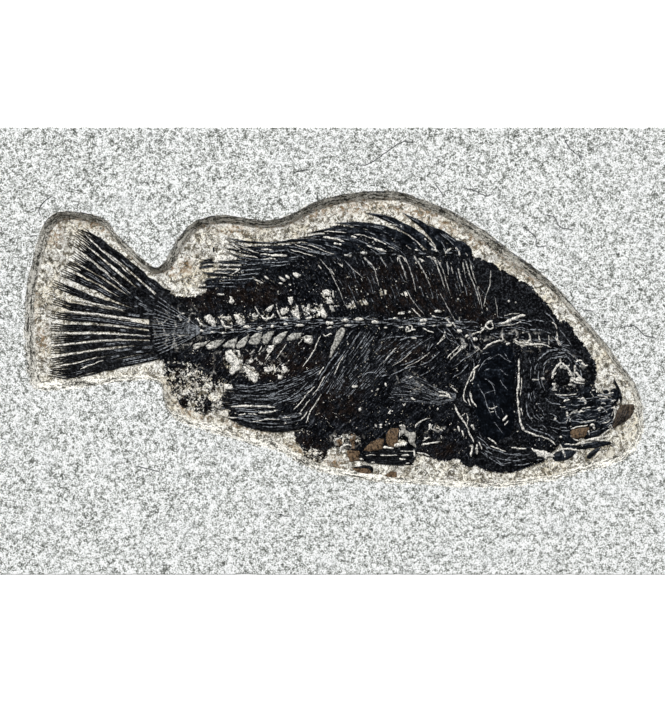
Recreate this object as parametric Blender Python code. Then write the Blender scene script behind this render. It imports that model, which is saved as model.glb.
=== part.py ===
"""A fossil fish in its limestone slab.

The slab is a sawn rectangle of laminated limestone. A ledged recess has been worked down into its face, and
the fish lies on the recess floor, head to +X and back to +Y. The origin is the middle of the slab's
underside.
"""

import math

import bmesh
import bpy
from mathutils import Vector

# Driving dimensions, in metres.
SLAB_LENGTH = 0.304
SLAB_WIDTH = 0.2016
SLAB_THICKNESS = 0.018
SLAB_ARRIS = 0.0006
RECESS_DEPTH = 0.0032
RECESS_LEDGES = 4
LEDGE_TREAD = 0.00095
FIT_GAP = 0.0003
PLATE_THICKNESS = 0.0009
BONE_HEIGHT = 0.0010
HEAD_HEIGHT = 0.0021
CHAMFER = 0.0005

# Plan outlines are drawn on a grid of 0.45 mm squares: u runs to the right and v runs down the face,
# and the grid's middle lies over the middle of the slab.
GRID = 0.00045
GRID_MIDDLE = (332.5, 351.0)

FLOOR = SLAB_THICKNESS - RECESS_DEPTH
BED = FLOOR + FIT_GAP
PLATE_TOP = BED + PLATE_THICKNESS
ON_PLATE = PLATE_TOP + FIT_GAP

LIMESTONE = ((0.66, 0.65, 0.61), 0.9)
BLACK_BONE = ((0.018, 0.018, 0.021), 0.35)
DARK_FILM = ((0.035, 0.029, 0.026), 0.5)
BROWN_FLAKE = ((0.13, 0.075, 0.045), 0.55)
GREY_BONE = ((0.30, 0.29, 0.26), 0.6)

# The brink of the recess, clockwise from the left of the tail.
BRINK = (
    (66, 211), (86, 213), (106, 220), (117, 234), (131, 248), (145, 261), (156, 267), (165, 261),
    (172, 248), (180, 235), (191, 224), (206, 217), (221, 215), (240, 217), (260, 220), (277, 219),
    (293, 213), (312, 203), (330, 197), (352, 193), (374, 191), (400, 192), (426, 201), (452, 211),
    (472, 223), (492, 236), (510, 250), (530, 264), (548, 279), (565, 296), (581, 315), (597, 333),
    (611, 350), (623, 367), (634, 382), (641, 398), (644, 415), (643, 432), (637, 448), (625, 459),
    (606, 467), (582, 473), (556, 480), (528, 485), (500, 488), (462, 487), (420, 485), (385, 483),
    (350, 478), (320, 472), (305, 466), (292, 459), (276, 451), (248, 443), (222, 436), (198, 429),
    (180, 422), (168, 412), (163, 398), (161, 385), (150, 380), (136, 381), (112, 384), (83, 388),
    (50, 391), (34, 388), (27, 371), (25, 348), (24.5, 318), (26, 290), (31, 265), (38, 238),
    (44, 224), (53, 214),
)

# The flank with its skin and scales, from the tail root along the back to the head and back by the belly.
BODY = (
    (161, 294), (173, 298), (187, 298), (199, 295), (209, 290), (223, 287), (240, 282), (258, 277),
    (276, 273), (294, 270), (312, 267), (330, 264), (350, 261), (370, 260), (390, 259), (410, 258),
    (430, 258), (450, 258), (466, 258), (480, 260), (493, 265), (507, 273), (521, 280), (534, 289),
    (544, 300), (551, 310), (530, 311), (508, 312), (490, 316), (483, 319), (478, 330), (474, 342),
    (464, 356), (458, 374), (457, 392), (458, 408), (463, 424), (469, 438), (466, 441), (440, 440),
    (418, 445), (400, 446), (385, 446), (370, 447), (358, 448), (345, 449), (332, 450), (318, 453),
    (306, 450), (296, 445), (296, 440), (304, 436), (313, 433), (317, 425), (311, 409), (301, 400),
    (288, 393), (275, 387), (262, 381), (248, 376), (236, 374), (224, 375), (214, 381), (205, 388),
    (196, 381), (188, 371), (177, 364), (162, 361),
)

# Each ray or spine is a run of grid points from its root to its tip.
TAIL_RAYS = (
    ((165, 292), (146, 276), (122, 257), (102, 243), (80, 230)),
    ((163, 298), (141, 281), (120, 263), (102, 248), (84, 236)),
    ((162, 303), (140, 288), (107, 261), (72, 234)),
    ((162, 307), (140, 296), (107, 269), (71, 241)),
    ((161, 311), (138, 301), (108, 278), (71, 252)),
    ((161, 314), (138, 306), (108, 287), (65, 262)),
    ((161, 318), (135, 310), (105, 295), (56, 271)),
    ((161, 322), (135, 315), (105, 304), (50, 286)),
    ((161, 326), (135, 319), (105, 312), (50, 301)),
    ((161, 329), (135, 324), (105, 320), (50, 313)),
    ((161, 332), (135, 330), (105, 328), (48, 326)),
    ((161, 336), (135, 335), (105, 337), (50, 341)),
    ((161, 340), (135, 341), (105, 346), (50, 352)),
    ((161, 344), (135, 347), (105, 354), (50, 361)),
    ((161, 348), (135, 353), (105, 361), (52, 369)),
    ((162, 352), (135, 358), (105, 367), (75, 373), (48, 373)),
    ((163, 358), (135, 364), (110, 369), (90, 373)),
)
TAIL_ROOT = (
    (160, 288), (167, 291), (159, 299), (159, 356), (162, 362), (154, 363), (152, 352), (152, 300),
)

DORSAL_SPINES = (
    ((470, 256), (464, 247), (458, 241)),
    ((461, 255), (453, 244), (443, 234), (432, 226)),
    ((452, 254), (441, 241), (429, 229), (417, 219), (403, 212)),
    ((443, 254), (430, 241), (414, 228), (397, 219), (380, 214), (361, 211)),
    ((428, 254), (413, 243), (396, 232), (377, 225), (355, 221), (332, 222)),
    ((412, 254), (397, 243), (378, 234), (356, 229), (334, 228), (313, 231)),
    ((396, 255), (380, 245), (360, 237), (338, 233), (316, 233), (298, 236)),
    ((380, 256), (362, 248), (342, 242), (320, 239), (300, 239), (284, 240)),
    ((362, 257), (344, 251), (324, 247), (304, 244), (284, 244), (266, 243)),
)
DORSAL_RAYS = (
    ((345, 258), (322, 254), (300, 250), (275, 247), (250, 242), (226, 237)),
    ((328, 261), (306, 258), (284, 254), (262, 251), (242, 248), (225, 244)),
    ((312, 264), (290, 260), (268, 257), (248, 254), (230, 252)),
    ((296, 266), (276, 263), (256, 261), (236, 259), (218, 259)),
    ((282, 268), (262, 267), (242, 266), (222, 265), (210, 264)),
    ((268, 271), (250, 271), (230, 271), (208, 270)),
    ((254, 275), (236, 276), (218, 276), (200, 276)),
    ((242, 279), (226, 281), (212, 282), (199, 282)),
    ((230, 283), (216, 286), (203, 288)),
)
DORSAL_ROOT = (
    (473, 255), (466, 255), (430, 255), (390, 256), (350, 258), (312, 264), (276, 270), (240, 279),
    (223, 284), (208, 288), (205, 284), (222, 279), (240, 274), (276, 264), (312, 259), (350, 253),
    (390, 251), (430, 250), (466, 250),
)

ANAL_SPINES = (
    ((312, 426), (298, 430), (282, 431), (262, 431)),
    ((312, 420), (296, 426), (276, 427), (252, 424), (232, 419)),
    ((308, 412), (292, 419), (270, 420), (246, 418), (225, 416)),
)
ANAL_RAYS = (
    ((304, 407), (288, 412), (268, 413), (248, 412), (230, 411)),
    ((296, 402), (280, 407), (262, 408), (244, 406), (227, 405)),
    ((286, 398), (270, 402), (254, 402), (238, 400), (224, 398)),
    ((276, 393), (260, 396), (244, 396), (225, 392)),
    ((266, 389), (250, 391), (236, 390), (222, 387)),
    ((254, 384), (242, 385), (228, 381)),
)
ANAL_ROOT = (
    (314, 428), (316, 421), (311, 413), (300, 405), (286, 398), (272, 391), (258, 385), (246, 380),
    (242, 384), (256, 390), (270, 396), (284, 403), (298, 410), (306, 418), (308, 428),
)

PELVIC_RAYS = (
    ((415, 451), (392, 450), (368, 452)),
    ((415, 455), (390, 455), (361, 456)),
    ((415, 459), (390, 460), (366, 459)),
    ((415, 463), (395, 465), (378, 464)),
)
PELVIC_ROOT = (
    (412, 450), (420, 448), (440, 443), (464, 444), (466, 458), (440, 461), (424, 458), (412, 466),
)

PECTORAL_RAYS = (
    ((452, 398), (430, 391), (404, 384)),
    ((452, 400), (428, 396), (396, 391)),
    ((452, 402), (426, 402), (392, 400)),
    ((452, 404), (430, 407), (402, 408)),
)
PECTORAL_ROOT = ((446, 395), (454, 394), (455, 407), (446, 407))

# The line of the backbone from the tail root to the skull, with what grows from its vertebrae.
BACKBONE_LINE = (
    (166, 332), (200, 331), (240, 329), (280, 326), (320, 323), (360, 321), (400, 321), (440, 323),
    (476, 327),
)
VERTEBRAE = 23
BARE_VERTEBRAE = 2
NEURAL_REACH = ((-26, -22), (-24, -34), (-22, -45), (-27, -50), (-25, -52), (-16, -46))
HAEMAL_REACH = ((-26, 16), (-19, 24), (-15, 30), (-22, 33))
HAEMAL_SHARE = 0.50
RIBS = (
    ((352, 324), (338, 350), (325, 374), (309, 398)),
    ((365, 324), (347, 352), (333, 376), (320, 402)),
    ((378, 324), (358, 354), (343, 379), (331, 406)),
    ((391, 324), (371, 353), (355, 379), (344, 410)),
    ((404, 324), (385, 350), (369, 375), (359, 408)),
    ((417, 325), (400, 347), (384, 370), (375, 402)),
    ((430, 325), (414, 346), (399, 366), (390, 380)),
    ((443, 326), (430, 346), (416, 364)),
    ((455, 327), (444, 346), (433, 362)),
)

SKULL = (
    (487, 321), (497, 317), (512, 315), (530, 314), (546, 314), (555, 319), (566, 323), (574, 330),
    (578, 338), (584, 344), (589, 352), (594, 361), (597, 371), (597, 382), (590, 384), (586, 378),
    (582, 366), (575, 357), (564, 352), (551, 352), (541, 357), (534, 365), (527, 356), (520, 350),
    (508, 345), (495, 340), (487, 340), (483, 331),
)
EYE_MIDDLE = (559, 377)
EYE_RING_OUTER = 20.0
EYE_RING_INNER = 12.5
EYE_SEGMENTS = 28
CHEEK = (
    (520, 358), (527, 359), (533, 368), (537, 382), (544, 393), (554, 399), (565, 400), (561, 410),
    (559, 422), (558, 432), (560, 441), (550, 441), (538, 436), (528, 432), (522, 424), (520, 410),
    (519, 390), (519, 372),
)
GILL_COVER = (
    (484, 346), (493, 343), (505, 347), (514, 353), (517, 362), (517, 380), (517, 400), (518, 414),
    (520, 427), (527, 435), (537, 439), (546, 444), (535, 446), (520, 444), (505, 440), (492, 434),
    (483, 424), (477, 411), (473, 397), (474, 382), (479, 364),
)
SHOULDER = (
    (478, 344), (481, 352), (476, 364), (471, 380), (470, 397), (474, 412), (480, 426), (484, 434),
    (479, 440), (477, 452), (478, 467), (470, 465), (471, 452), (473, 441), (468, 428), (462, 412),
    (460, 395), (461, 377), (466, 361),
)
THROAT = (
    (482, 439), (495, 442), (512, 447), (530, 449), (546, 450), (550, 458), (543, 463), (530, 466),
    (515, 471), (500, 474), (490, 470), (481, 468), (480, 454),
)
THROAT_RAYS = 6
UPPER_JAW = (
    (584, 388), (593, 387), (601, 390), (608, 391), (613, 389), (612, 380), (616, 380), (620, 390),
    (621, 402), (618, 412), (612, 420), (604, 424), (594, 423), (582, 423), (572, 426), (563, 430),
    (563, 420), (566, 410), (574, 403), (573, 397),
)
LOWER_JAW = (
    (564, 435), (574, 438), (588, 437), (600, 433), (607, 427), (612, 430), (606, 438), (613, 442),
    (600, 447), (594, 455), (587, 459), (584, 452), (574, 458), (562, 462), (554, 461), (553, 452),
    (558, 446),
)

FLAKES = {
    "snout_flake": ((624, 404), (634, 404), (634, 410), (630, 417), (622, 423), (615, 427), (619, 418)),
    "mouth_flake": ((574, 429), (584, 426), (590, 426), (589, 434), (580, 436), (573, 435)),
    "lens_flake": ((353, 465), (360, 463), (370, 464), (373, 467), (368, 470), (359, 471), (355, 469)),
    "chip_flake": ((384, 470), (388, 471), (395, 468), (397, 472), (392, 475), (386, 474)),
    "square_flake": (
        (347, 452), (352, 451), (358, 451), (358.5, 456), (358, 460.5), (353, 461), (348, 461),
        (347.5, 456),
    ),
}
# Flakes that lie on the flank's film.
FILM_FLAKES = {
    "upper_flank_flake": (
        (392, 428), (399, 427.5), (399.5, 431), (398.5, 438), (397.5, 444), (393, 447), (388, 447),
        (386, 441), (386, 434),
    ),
    "lower_flank_flake": (
        (364, 450), (368, 445), (374, 441), (380, 438), (384.5, 439), (384, 443), (382.5, 449),
        (376, 451), (368, 451),
    ),
    "round_flake": ((335.5, 440), (339, 438), (342.5, 440), (343, 444), (341, 447), (337, 446)),
    "ribbon_flake": (
        (349, 436), (352, 433.5), (356, 434), (356, 439), (355, 444), (355.5, 449), (351, 449),
        (350.5, 442),
    ),
}
FLAKE_HEIGHT = 0.0007
# The end of the pelvic bone, above the roots of the pelvic fin.
PELVIC_BONE = (
    (401, 426), (404, 425), (407, 430), (411, 431.5), (415, 431.5), (417, 435), (416.5, 446.5), (412, 445),
    (408, 441), (404, 436), (402, 436.5), (401.2, 431),
)


def clear_scene():
    for leftover in list(bpy.data.objects):
        bpy.data.objects.remove(leftover, do_unlink=True)


def spot(point, height=0.0):
    """A grid point as a place on the slab, in metres."""
    u, v = point
    return Vector(((u - GRID_MIDDLE[0]) * GRID, (GRID_MIDDLE[1] - v) * GRID, height))


def material(name, look):
    colour, roughness = look
    made = bpy.data.materials.get(name) or bpy.data.materials.new(name)
    made.use_nodes = True
    shader = made.node_tree.nodes["Principled BSDF"]
    shader.inputs["Base Color"].default_value = (*colour, 1)
    shader.inputs["Roughness"].default_value = roughness
    shader.inputs["Metallic"].default_value = 0.0
    return made


def new_object(name, bm, finish=None):
    bmesh.ops.recalc_face_normals(bm, faces=bm.faces)
    mesh = bpy.data.meshes.new(name)
    bm.to_mesh(mesh)
    bm.free()
    made = bpy.data.objects.new(name, mesh)
    bpy.context.scene.collection.objects.link(made)
    if finish:
        mesh.materials.append(finish)
    return made


def moved_in(outline, distance):
    """A closed outline moved towards its inside, corner by corner."""
    flat = [Vector((p.x, p.y)) for p in outline]
    count = len(flat)
    area = sum(flat[i - 1].cross(flat[i]) for i in range(count))
    side = 1.0 if area > 0 else -1.0
    made = []
    for i, corner in enumerate(flat):
        before = (corner - flat[i - 1]).normalized()
        after = (flat[(i + 1) % count] - corner).normalized()
        normal = Vector((-(before + after).y, (before + after).x)).normalized() * side
        made.append(corner + normal * distance)
    return made


def rounded(outline, per_span=2):
    """A closed curve through every point of an outline."""
    count = len(outline)
    made = []
    for i in range(count):
        a, b, c, d = (outline[(i + k) % count] for k in (-1, 0, 1, 2))
        for step in range(per_span):
            t = step / per_span
            made.append(0.5 * (2 * b + (c - a) * t + (2 * a - 5 * b + 4 * c - d) * t**2
                               + (3 * b - a - 3 * c + d) * t**3))
    return made


def stack(name, rings, finish=None):
    """A closed solid through rings of equal length, given as (outline, height), with flat ends."""
    bm = bmesh.new()
    loops = [[bm.verts.new((p.x, p.y, height)) for p in outline] for outline, height in rings]
    for low, high in zip(loops, loops[1:]):
        for i in range(len(low)):
            j = (i + 1) % len(low)
            bm.faces.new((low[i], low[j], high[j], high[i]))
    bm.faces.new(loops[0])
    bm.faces.new(loops[-1])
    return new_object(name, bm, finish)


def plate(name, outline, finish, bottom=BED, height=PLATE_THICKNESS, chamfer=CHAMFER):
    """A flat bone or sheet with its upper edge eased in two steps."""
    line = [spot(p) for p in outline]
    rings = (
        (line, bottom),
        (line, bottom + 0.45 * height),
        (moved_in(line, 0.45 * chamfer), bottom + 0.8 * height),
        (moved_in(line, 1.3 * chamfer), bottom + height),
    )
    return stack(name, rings, finish)


def bar(points, root_width, tip_width, bottom, height, tip_height=0.5):
    """A tapered ray or spine: flat underneath, with bevelled flanks."""
    line = [spot(p) for p in points]
    lengths = [0.0]
    for a, b in zip(line, line[1:]):
        lengths.append(lengths[-1] + (b - a).length)
    bm = bmesh.new()
    rings = []
    for i, here in enumerate(line):
        share = lengths[i] / lengths[-1]
        width = root_width + (tip_width - root_width) * share
        top = bottom + height * (1 + (tip_height - 1) * share)
        along = (line[min(i + 1, len(line) - 1)] - line[max(i - 1, 0)]).normalized()
        across = Vector((-along.y, along.x, 0))
        corners = ((-0.5, bottom), (0.5, bottom), (0.26, top), (-0.26, top))
        rings.append([bm.verts.new((*(here + across * width * k).xy, z)) for k, z in corners])
    for low, high in zip(rings, rings[1:]):
        for i in range(4):
            j = (i + 1) % 4
            bm.faces.new((low[i], low[j], high[j], high[i]))
    bm.faces.new(rings[0])
    bm.faces.new(rings[-1])
    return new_object("bar", bm)


def combine(base, others, operation="UNION"):
    """Works the others into the base with one Boolean, and removes them."""
    helpers = bpy.data.collections.new("helpers")
    bpy.context.scene.collection.children.link(helpers)
    for other in others:
        helpers.objects.link(other)
    cut = base.modifiers.new("combine", "BOOLEAN")
    cut.operation = operation
    cut.solver = "EXACT"
    cut.operand_type = "COLLECTION"
    cut.collection = helpers
    bpy.context.view_layer.update()
    graph = bpy.context.evaluated_depsgraph_get()
    mesh = bpy.data.meshes.new_from_object(base.evaluated_get(graph))
    base.modifiers.clear()
    base.data = mesh
    for other in others:
        bpy.data.objects.remove(other, do_unlink=True)
    bpy.data.collections.remove(helpers)
    return base


def outline_cutter(outline, clearance):
    """A prism a little larger than an outline, which cuts a neighbour back from it."""
    grown = moved_in([spot(p) for p in outline], -clearance)
    return stack("cutter", ((grown, FLOOR - 0.001), (grown, SLAB_THICKNESS + 0.001)))


def make_slab():
    bpy.ops.mesh.primitive_cube_add(size=1, location=(0, 0, SLAB_THICKNESS / 2))
    slab = bpy.context.active_object
    slab.name = "slab"
    slab.scale = (SLAB_LENGTH, SLAB_WIDTH, SLAB_THICKNESS)
    bpy.ops.object.transform_apply(location=True, rotation=False, scale=True)
    slab.data.materials.append(material("limestone", LIMESTONE))
    eased = slab.modifiers.new("sawn arris", "BEVEL")
    eased.width = SLAB_ARRIS
    eased.segments = 1
    brink = rounded([spot(p) for p in BRINK], 1)
    rise = RECESS_DEPTH / RECESS_LEDGES
    rings = [(brink, SLAB_THICKNESS + 0.002)]
    for ledge in range(RECESS_LEDGES):
        line = moved_in(brink, ledge * LEDGE_TREAD)
        if ledge:
            rings.append((line, SLAB_THICKNESS - ledge * rise))
        foot = moved_in(brink, ledge * LEDGE_TREAD + 0.25 * LEDGE_TREAD)
        rings.append((foot, SLAB_THICKNESS - (ledge + 1) * rise))
    rings.reverse()
    combine(slab, [stack("recess", rings)], "DIFFERENCE")


def make_body():
    plate("body", BODY, material("dark film", DARK_FILM))


def along(line, share):
    """The grid point at a share of a line's length."""
    points = [Vector(p) for p in line]
    lengths = [(b - a).length for a, b in zip(points, points[1:])]
    left = share * sum(lengths)
    for a, b, length in zip(points, points[1:], lengths):
        if left <= length:
            return a + (b - a) * left / length
        left -= length
    return points[-1]


def reach_at(reaches, share):
    """The reach of a spine at a share of the backbone, between the reaches given along it."""
    place = share * (len(reaches) - 1)
    low = min(int(place), len(reaches) - 2)
    return Vector(reaches[low]).lerp(Vector(reaches[low + 1]), place - low)


def make_backbone():
    """The chain of vertebrae, with the spines above and below it and the ribs."""
    bone = material("black bone", BLACK_BONE)
    core = bar(BACKBONE_LINE, 0.0030, 0.0040, ON_PLATE, 0.8 * BONE_HEIGHT, 1.0)
    core.name = "backbone"
    core.data.materials.append(bone)
    grown = []
    for i in range(VERTEBRAE):
        share = (i + 0.5) / VERTEBRAE
        middle = along(BACKBONE_LINE, share)
        ahead = along(BACKBONE_LINE, min(share + 0.35 / VERTEBRAE, 1))
        behind = along(BACKBONE_LINE, max(share - 0.35 / VERTEBRAE, 0))
        grown.append(bar((behind, ahead), 0.0052, 0.0052, ON_PLATE, 1.05 * BONE_HEIGHT, 1.0))
        if i < BARE_VERTEBRAE:
            continue
        up = reach_at(NEURAL_REACH, share)
        bend = middle + up * 0.5 + Vector((2, 0))
        grown.append(bar((middle, bend, middle + up), 0.0014, 0.0007, ON_PLATE, 0.7 * BONE_HEIGHT))
        if share < HAEMAL_SHARE:
            down = reach_at(HAEMAL_REACH, share / HAEMAL_SHARE)
            bend = middle + down * 0.5 + Vector((2, 0))
            grown.append(bar((middle, bend, middle + down), 0.0014, 0.0007, ON_PLATE, 0.7 * BONE_HEIGHT))
    for rib in RIBS:
        grown.append(bar(rib, 0.0016, 0.0009, ON_PLATE, 0.75 * BONE_HEIGHT))
    combine(core, grown)


def make_fin(name, root, groups, bottom=BED, clear_of=(BODY,)):
    """Rays fused to their root, cut back from their neighbours. A group is (rays, root width, tip width)."""
    fin = plate(name, root, material("black bone", BLACK_BONE), bottom=bottom)
    rays = [
        bar(points, root_width, tip_width, bottom, PLATE_THICKNESS + 0.0004)
        for lines, root_width, tip_width in groups
        for points in lines
    ]
    combine(fin, rays)
    if clear_of:
        combine(fin, [outline_cutter(outline, FIT_GAP) for outline in clear_of], "DIFFERENCE")


def make_fins():
    make_fin("tail_fin", TAIL_ROOT, ((TAIL_RAYS, 0.0014, 0.0022),))
    make_fin("dorsal_fin", DORSAL_ROOT, ((DORSAL_SPINES, 0.0042, 0.0004), (DORSAL_RAYS, 0.0018, 0.0010)))
    make_fin("anal_fin", ANAL_ROOT, ((ANAL_SPINES, 0.0030, 0.0005), (ANAL_RAYS, 0.0016, 0.0010)))
    make_fin("pelvic_fin", PELVIC_ROOT, ((PELVIC_RAYS, 0.0018, 0.0010),))
    make_fin("pectoral_fin", PECTORAL_ROOT, ((PECTORAL_RAYS, 0.0014, 0.0009),), ON_PLATE, ())


def make_eye_ring(bone):
    """The ring of bone round the eye socket, as a turned band with a rounded crest."""
    middle = spot(EYE_MIDDLE)
    band = (EYE_RING_OUTER - EYE_RING_INNER) * GRID
    inner = EYE_RING_INNER * GRID
    section = ((0.0, 0.0), (1.0, 0.0), (0.95, 0.5), (0.65, 0.85), (0.35, 0.85), (0.05, 0.5))
    bm = bmesh.new()
    rings = []
    for i in range(EYE_SEGMENTS):
        angle = 2 * math.pi * i / EYE_SEGMENTS
        out = Vector((math.cos(angle), math.sin(angle), 0))
        rings.append([
            bm.verts.new((*(middle + out * (inner + band * share)).xy, BED + HEAD_HEIGHT * rise))
            for share, rise in section
        ])
    for i, low in enumerate(rings):
        high = rings[(i + 1) % len(rings)]
        for k in range(len(section)):
            n = (k + 1) % len(section)
            bm.faces.new((low[k], low[n], high[n], high[k]))
    new_object("eye_ring", bm, bone)


def make_throat(bone):
    """The fan of curved throat rays, as ribs across one plate."""
    throat = plate("throat_rays", THROAT, bone, height=0.5 * HEAD_HEIGHT)
    rays = []
    for i in range(THROAT_RAYS):
        share = (i + 0.5) / THROAT_RAYS
        start = Vector((484, 443)).lerp(Vector((489, 466)), share)
        middle = Vector((512, 450)).lerp(Vector((514, 468)), share)
        end = Vector((543, 453)).lerp(Vector((540, 462)), share)
        line = (start, middle, end)
        rays.append(bar(line, 0.0016, 0.0008, BED + 0.0004, 0.7 * HEAD_HEIGHT - 0.0004, 0.85))
    combine(throat, rays)


def make_head():
    bone = material("black bone", BLACK_BONE)
    plate("skull", SKULL, bone, height=0.9 * HEAD_HEIGHT, chamfer=0.0008)
    plate("cheek_bone", CHEEK, bone, height=0.8 * HEAD_HEIGHT, chamfer=0.0007)
    plate("gill_cover", GILL_COVER, bone, height=HEAD_HEIGHT, chamfer=0.0010)
    plate("shoulder_bone", SHOULDER, bone, height=0.85 * HEAD_HEIGHT)
    plate("upper_jaw", UPPER_JAW, bone, height=0.8 * HEAD_HEIGHT, chamfer=0.0006)
    plate("lower_jaw", LOWER_JAW, bone, height=0.7 * HEAD_HEIGHT, chamfer=0.0005)
    make_eye_ring(bone)
    make_throat(bone)


def make_flakes():
    brown = material("brown flake", BROWN_FLAKE)
    for name, outline in FLAKES.items():
        plate(name, outline, brown, height=FLAKE_HEIGHT, chamfer=0.0003)
    for name, outline in FILM_FLAKES.items():
        plate(name, outline, brown, bottom=ON_PLATE, height=FLAKE_HEIGHT, chamfer=0.0003)


def make_pelvic_bone():
    grey = material("grey bone", GREY_BONE)
    plate("pelvic_bone", PELVIC_BONE, grey, bottom=ON_PLATE, height=FLAKE_HEIGHT, chamfer=0.0003)


clear_scene()
make_slab()
make_body()
make_backbone()
make_fins()
make_head()
make_flakes()
make_pelvic_bone()
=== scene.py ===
import math

import bmesh
import bpy
import numpy as np
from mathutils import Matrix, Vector, noise
from mathutils.geometry import delaunay_2d_cdt


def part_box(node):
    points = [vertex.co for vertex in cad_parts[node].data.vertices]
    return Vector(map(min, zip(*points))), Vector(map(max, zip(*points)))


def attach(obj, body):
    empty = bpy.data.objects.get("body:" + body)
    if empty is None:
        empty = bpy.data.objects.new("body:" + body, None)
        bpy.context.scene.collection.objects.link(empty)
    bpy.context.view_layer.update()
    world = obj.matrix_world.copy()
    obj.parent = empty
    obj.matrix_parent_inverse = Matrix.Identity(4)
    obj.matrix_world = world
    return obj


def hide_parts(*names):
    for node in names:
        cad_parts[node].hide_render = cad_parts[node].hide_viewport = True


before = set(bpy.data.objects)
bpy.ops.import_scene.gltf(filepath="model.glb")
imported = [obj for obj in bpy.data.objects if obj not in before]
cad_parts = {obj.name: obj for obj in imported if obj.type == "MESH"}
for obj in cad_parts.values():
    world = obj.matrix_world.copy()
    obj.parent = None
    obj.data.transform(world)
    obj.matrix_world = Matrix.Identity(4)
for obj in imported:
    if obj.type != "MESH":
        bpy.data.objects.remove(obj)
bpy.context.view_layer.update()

# THE SLAB
# White laminated limestone, sawn to a rectangle. A hollow with a stepped wall is worked down through its
# thin layers to the one that the fish lies on, so the wall shows the layers as fine wandering ledges.
# Plan outlines are drawn on a grid of 0.45 mm squares: u runs right, v runs down, and GRID_MIDDLE lies
# over the middle of the slab.
GRID = 0.00045
GRID_MIDDLE = (332.5, 351.0)
slab_low, slab_high = (Vector(corner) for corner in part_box("slab"))
FACE = slab_high.z
HOLLOW_DEPTH = 0.0032
BED = FACE - HOLLOW_DEPTH
LAYERS = 8
WALL_WIDTH = 0.0036
WALL_STEPS = 20
BRINK_SPACING = 0.0009
BED_SPACING = 0.0012
BED_SHARE = 1.12
BRINK = (
    (66, 211), (86, 213), (106, 220), (117, 234), (131, 248), (145, 261), (156, 267), (165, 261),
    (172, 248), (180, 235), (191, 224), (206, 217), (221, 215), (240, 217), (260, 220), (277, 219),
    (293, 213), (312, 203), (330, 197), (352, 193), (374, 191), (400, 192), (426, 201), (452, 211),
    (472, 223), (492, 236), (510, 250), (530, 264), (548, 279), (565, 296), (581, 315), (597, 333),
    (611, 350), (623, 367), (634, 382), (641, 398), (644, 415), (643, 432), (637, 448), (625, 459),
    (606, 467), (582, 473), (556, 480), (528, 485), (500, 488), (462, 487), (420, 485), (385, 483),
    (350, 478), (320, 472), (305, 466), (292, 459), (276, 451), (248, 443), (222, 436), (198, 429),
    (180, 422), (168, 412), (163, 398), (161, 385), (150, 380), (136, 381), (112, 384), (83, 388),
    (50, 391), (34, 388), (27, 371), (25, 348), (24.5, 318), (26, 290), (31, 265), (38, 238), (44, 224),
    (53, 214),
)
CRACKS = (
    ((53.6, 195), (43, 203), (39, 211), (41, 217)), ((28, 236.6), (37, 236)),
    ((355, 164), (366, 165), (378, 158), (391, 149), (402, 142), (414, 143)), ((435, 183), (444, 197)),
    ((463, 188), (473, 190), (481, 194), (487, 196), (493, 194)),
    ((544, 215), (554, 217), (560, 227), (568, 229), (574, 230)),
    ((522, 226), (530, 232), (536, 238), (537, 246), (548, 246)), ((564, 138), (570, 149), (578, 155)),
    ((582, 309), (588, 311), (596, 311)), ((601, 322), (610, 322)),
    ((620, 328), (634, 326), (644, 335), (650, 337), (657, 339)), ((293, 174), (300, 171), (308, 170)),
    ((135, 466), (148, 469), (160, 472)), ((276, 514), (290, 517)),
)
CRACK_HALF_WIDTH = 0.00030
CRACK_DEPTH = 0.0004
CRACK_SPACING = 0.0005
CRACK_WANDER = 0.0003
# Ovals: u, v, half length, half width, and the turn of the length in degrees. The wall is widest in the first
# ones, mottled like the bed in the second, and worn back into the skin in the third. Rust and weed have
# stained the bed in the last.
WIDE_WALL = ((502, 248, 44, 22, 38), (235, 440, 84, 20, -20), (70, 388, 40, 10, 0), (600, 465, 40, 14, 15))
MOTTLED_WALL = ((160, 395, 14, 26, 0), (236, 441, 74, 9, -16))
WORN_BRINK = (
    (118, 232, 30, 9, 42), (90, 214, 16, 6, 10), (184, 232, 16, 6, -50), (322, 198, 24, 5, -18),
    (530, 262, 26, 6, 38), (395, 189, 30, 4, 5),
)
STAINS = (
    (404, 211, 9, 5, 20), (384, 205, 6, 4, 0), (453, 231, 5, 4, 0), (172, 272, 7, 6, 0),
    (300, 203, 9, 4, 0), (343, 208, 12, 4, 0), (95, 226, 14, 4, 20), (262, 222, 22, 4, 0),
    (186, 268, 8, 10, 0), (515, 264, 6, 3, 40), (42, 340, 5, 16, 0), (335, 462, 9, 6, 0),
    (190, 410, 18, 6, 20), (355, 208, 18, 5, -5), (420, 212, 18, 6, 15), (443, 224, 12, 5, 40),
    (318, 211, 16, 5, -20), (474, 241, 9, 4, 45), (232, 229, 20, 5, 0), (55, 236, 8, 10, 20),
    (240, 428, 18, 4, 15), (530, 276, 10, 4, 42), (300, 448, 10, 5, 0), (34, 300, 3, 20, 0),
)


def at(u, v):
    """A grid point as x and y on the slab."""
    return ((u - GRID_MIDDLE[0]) * GRID, (GRID_MIDDLE[1] - v) * GRID)


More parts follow.
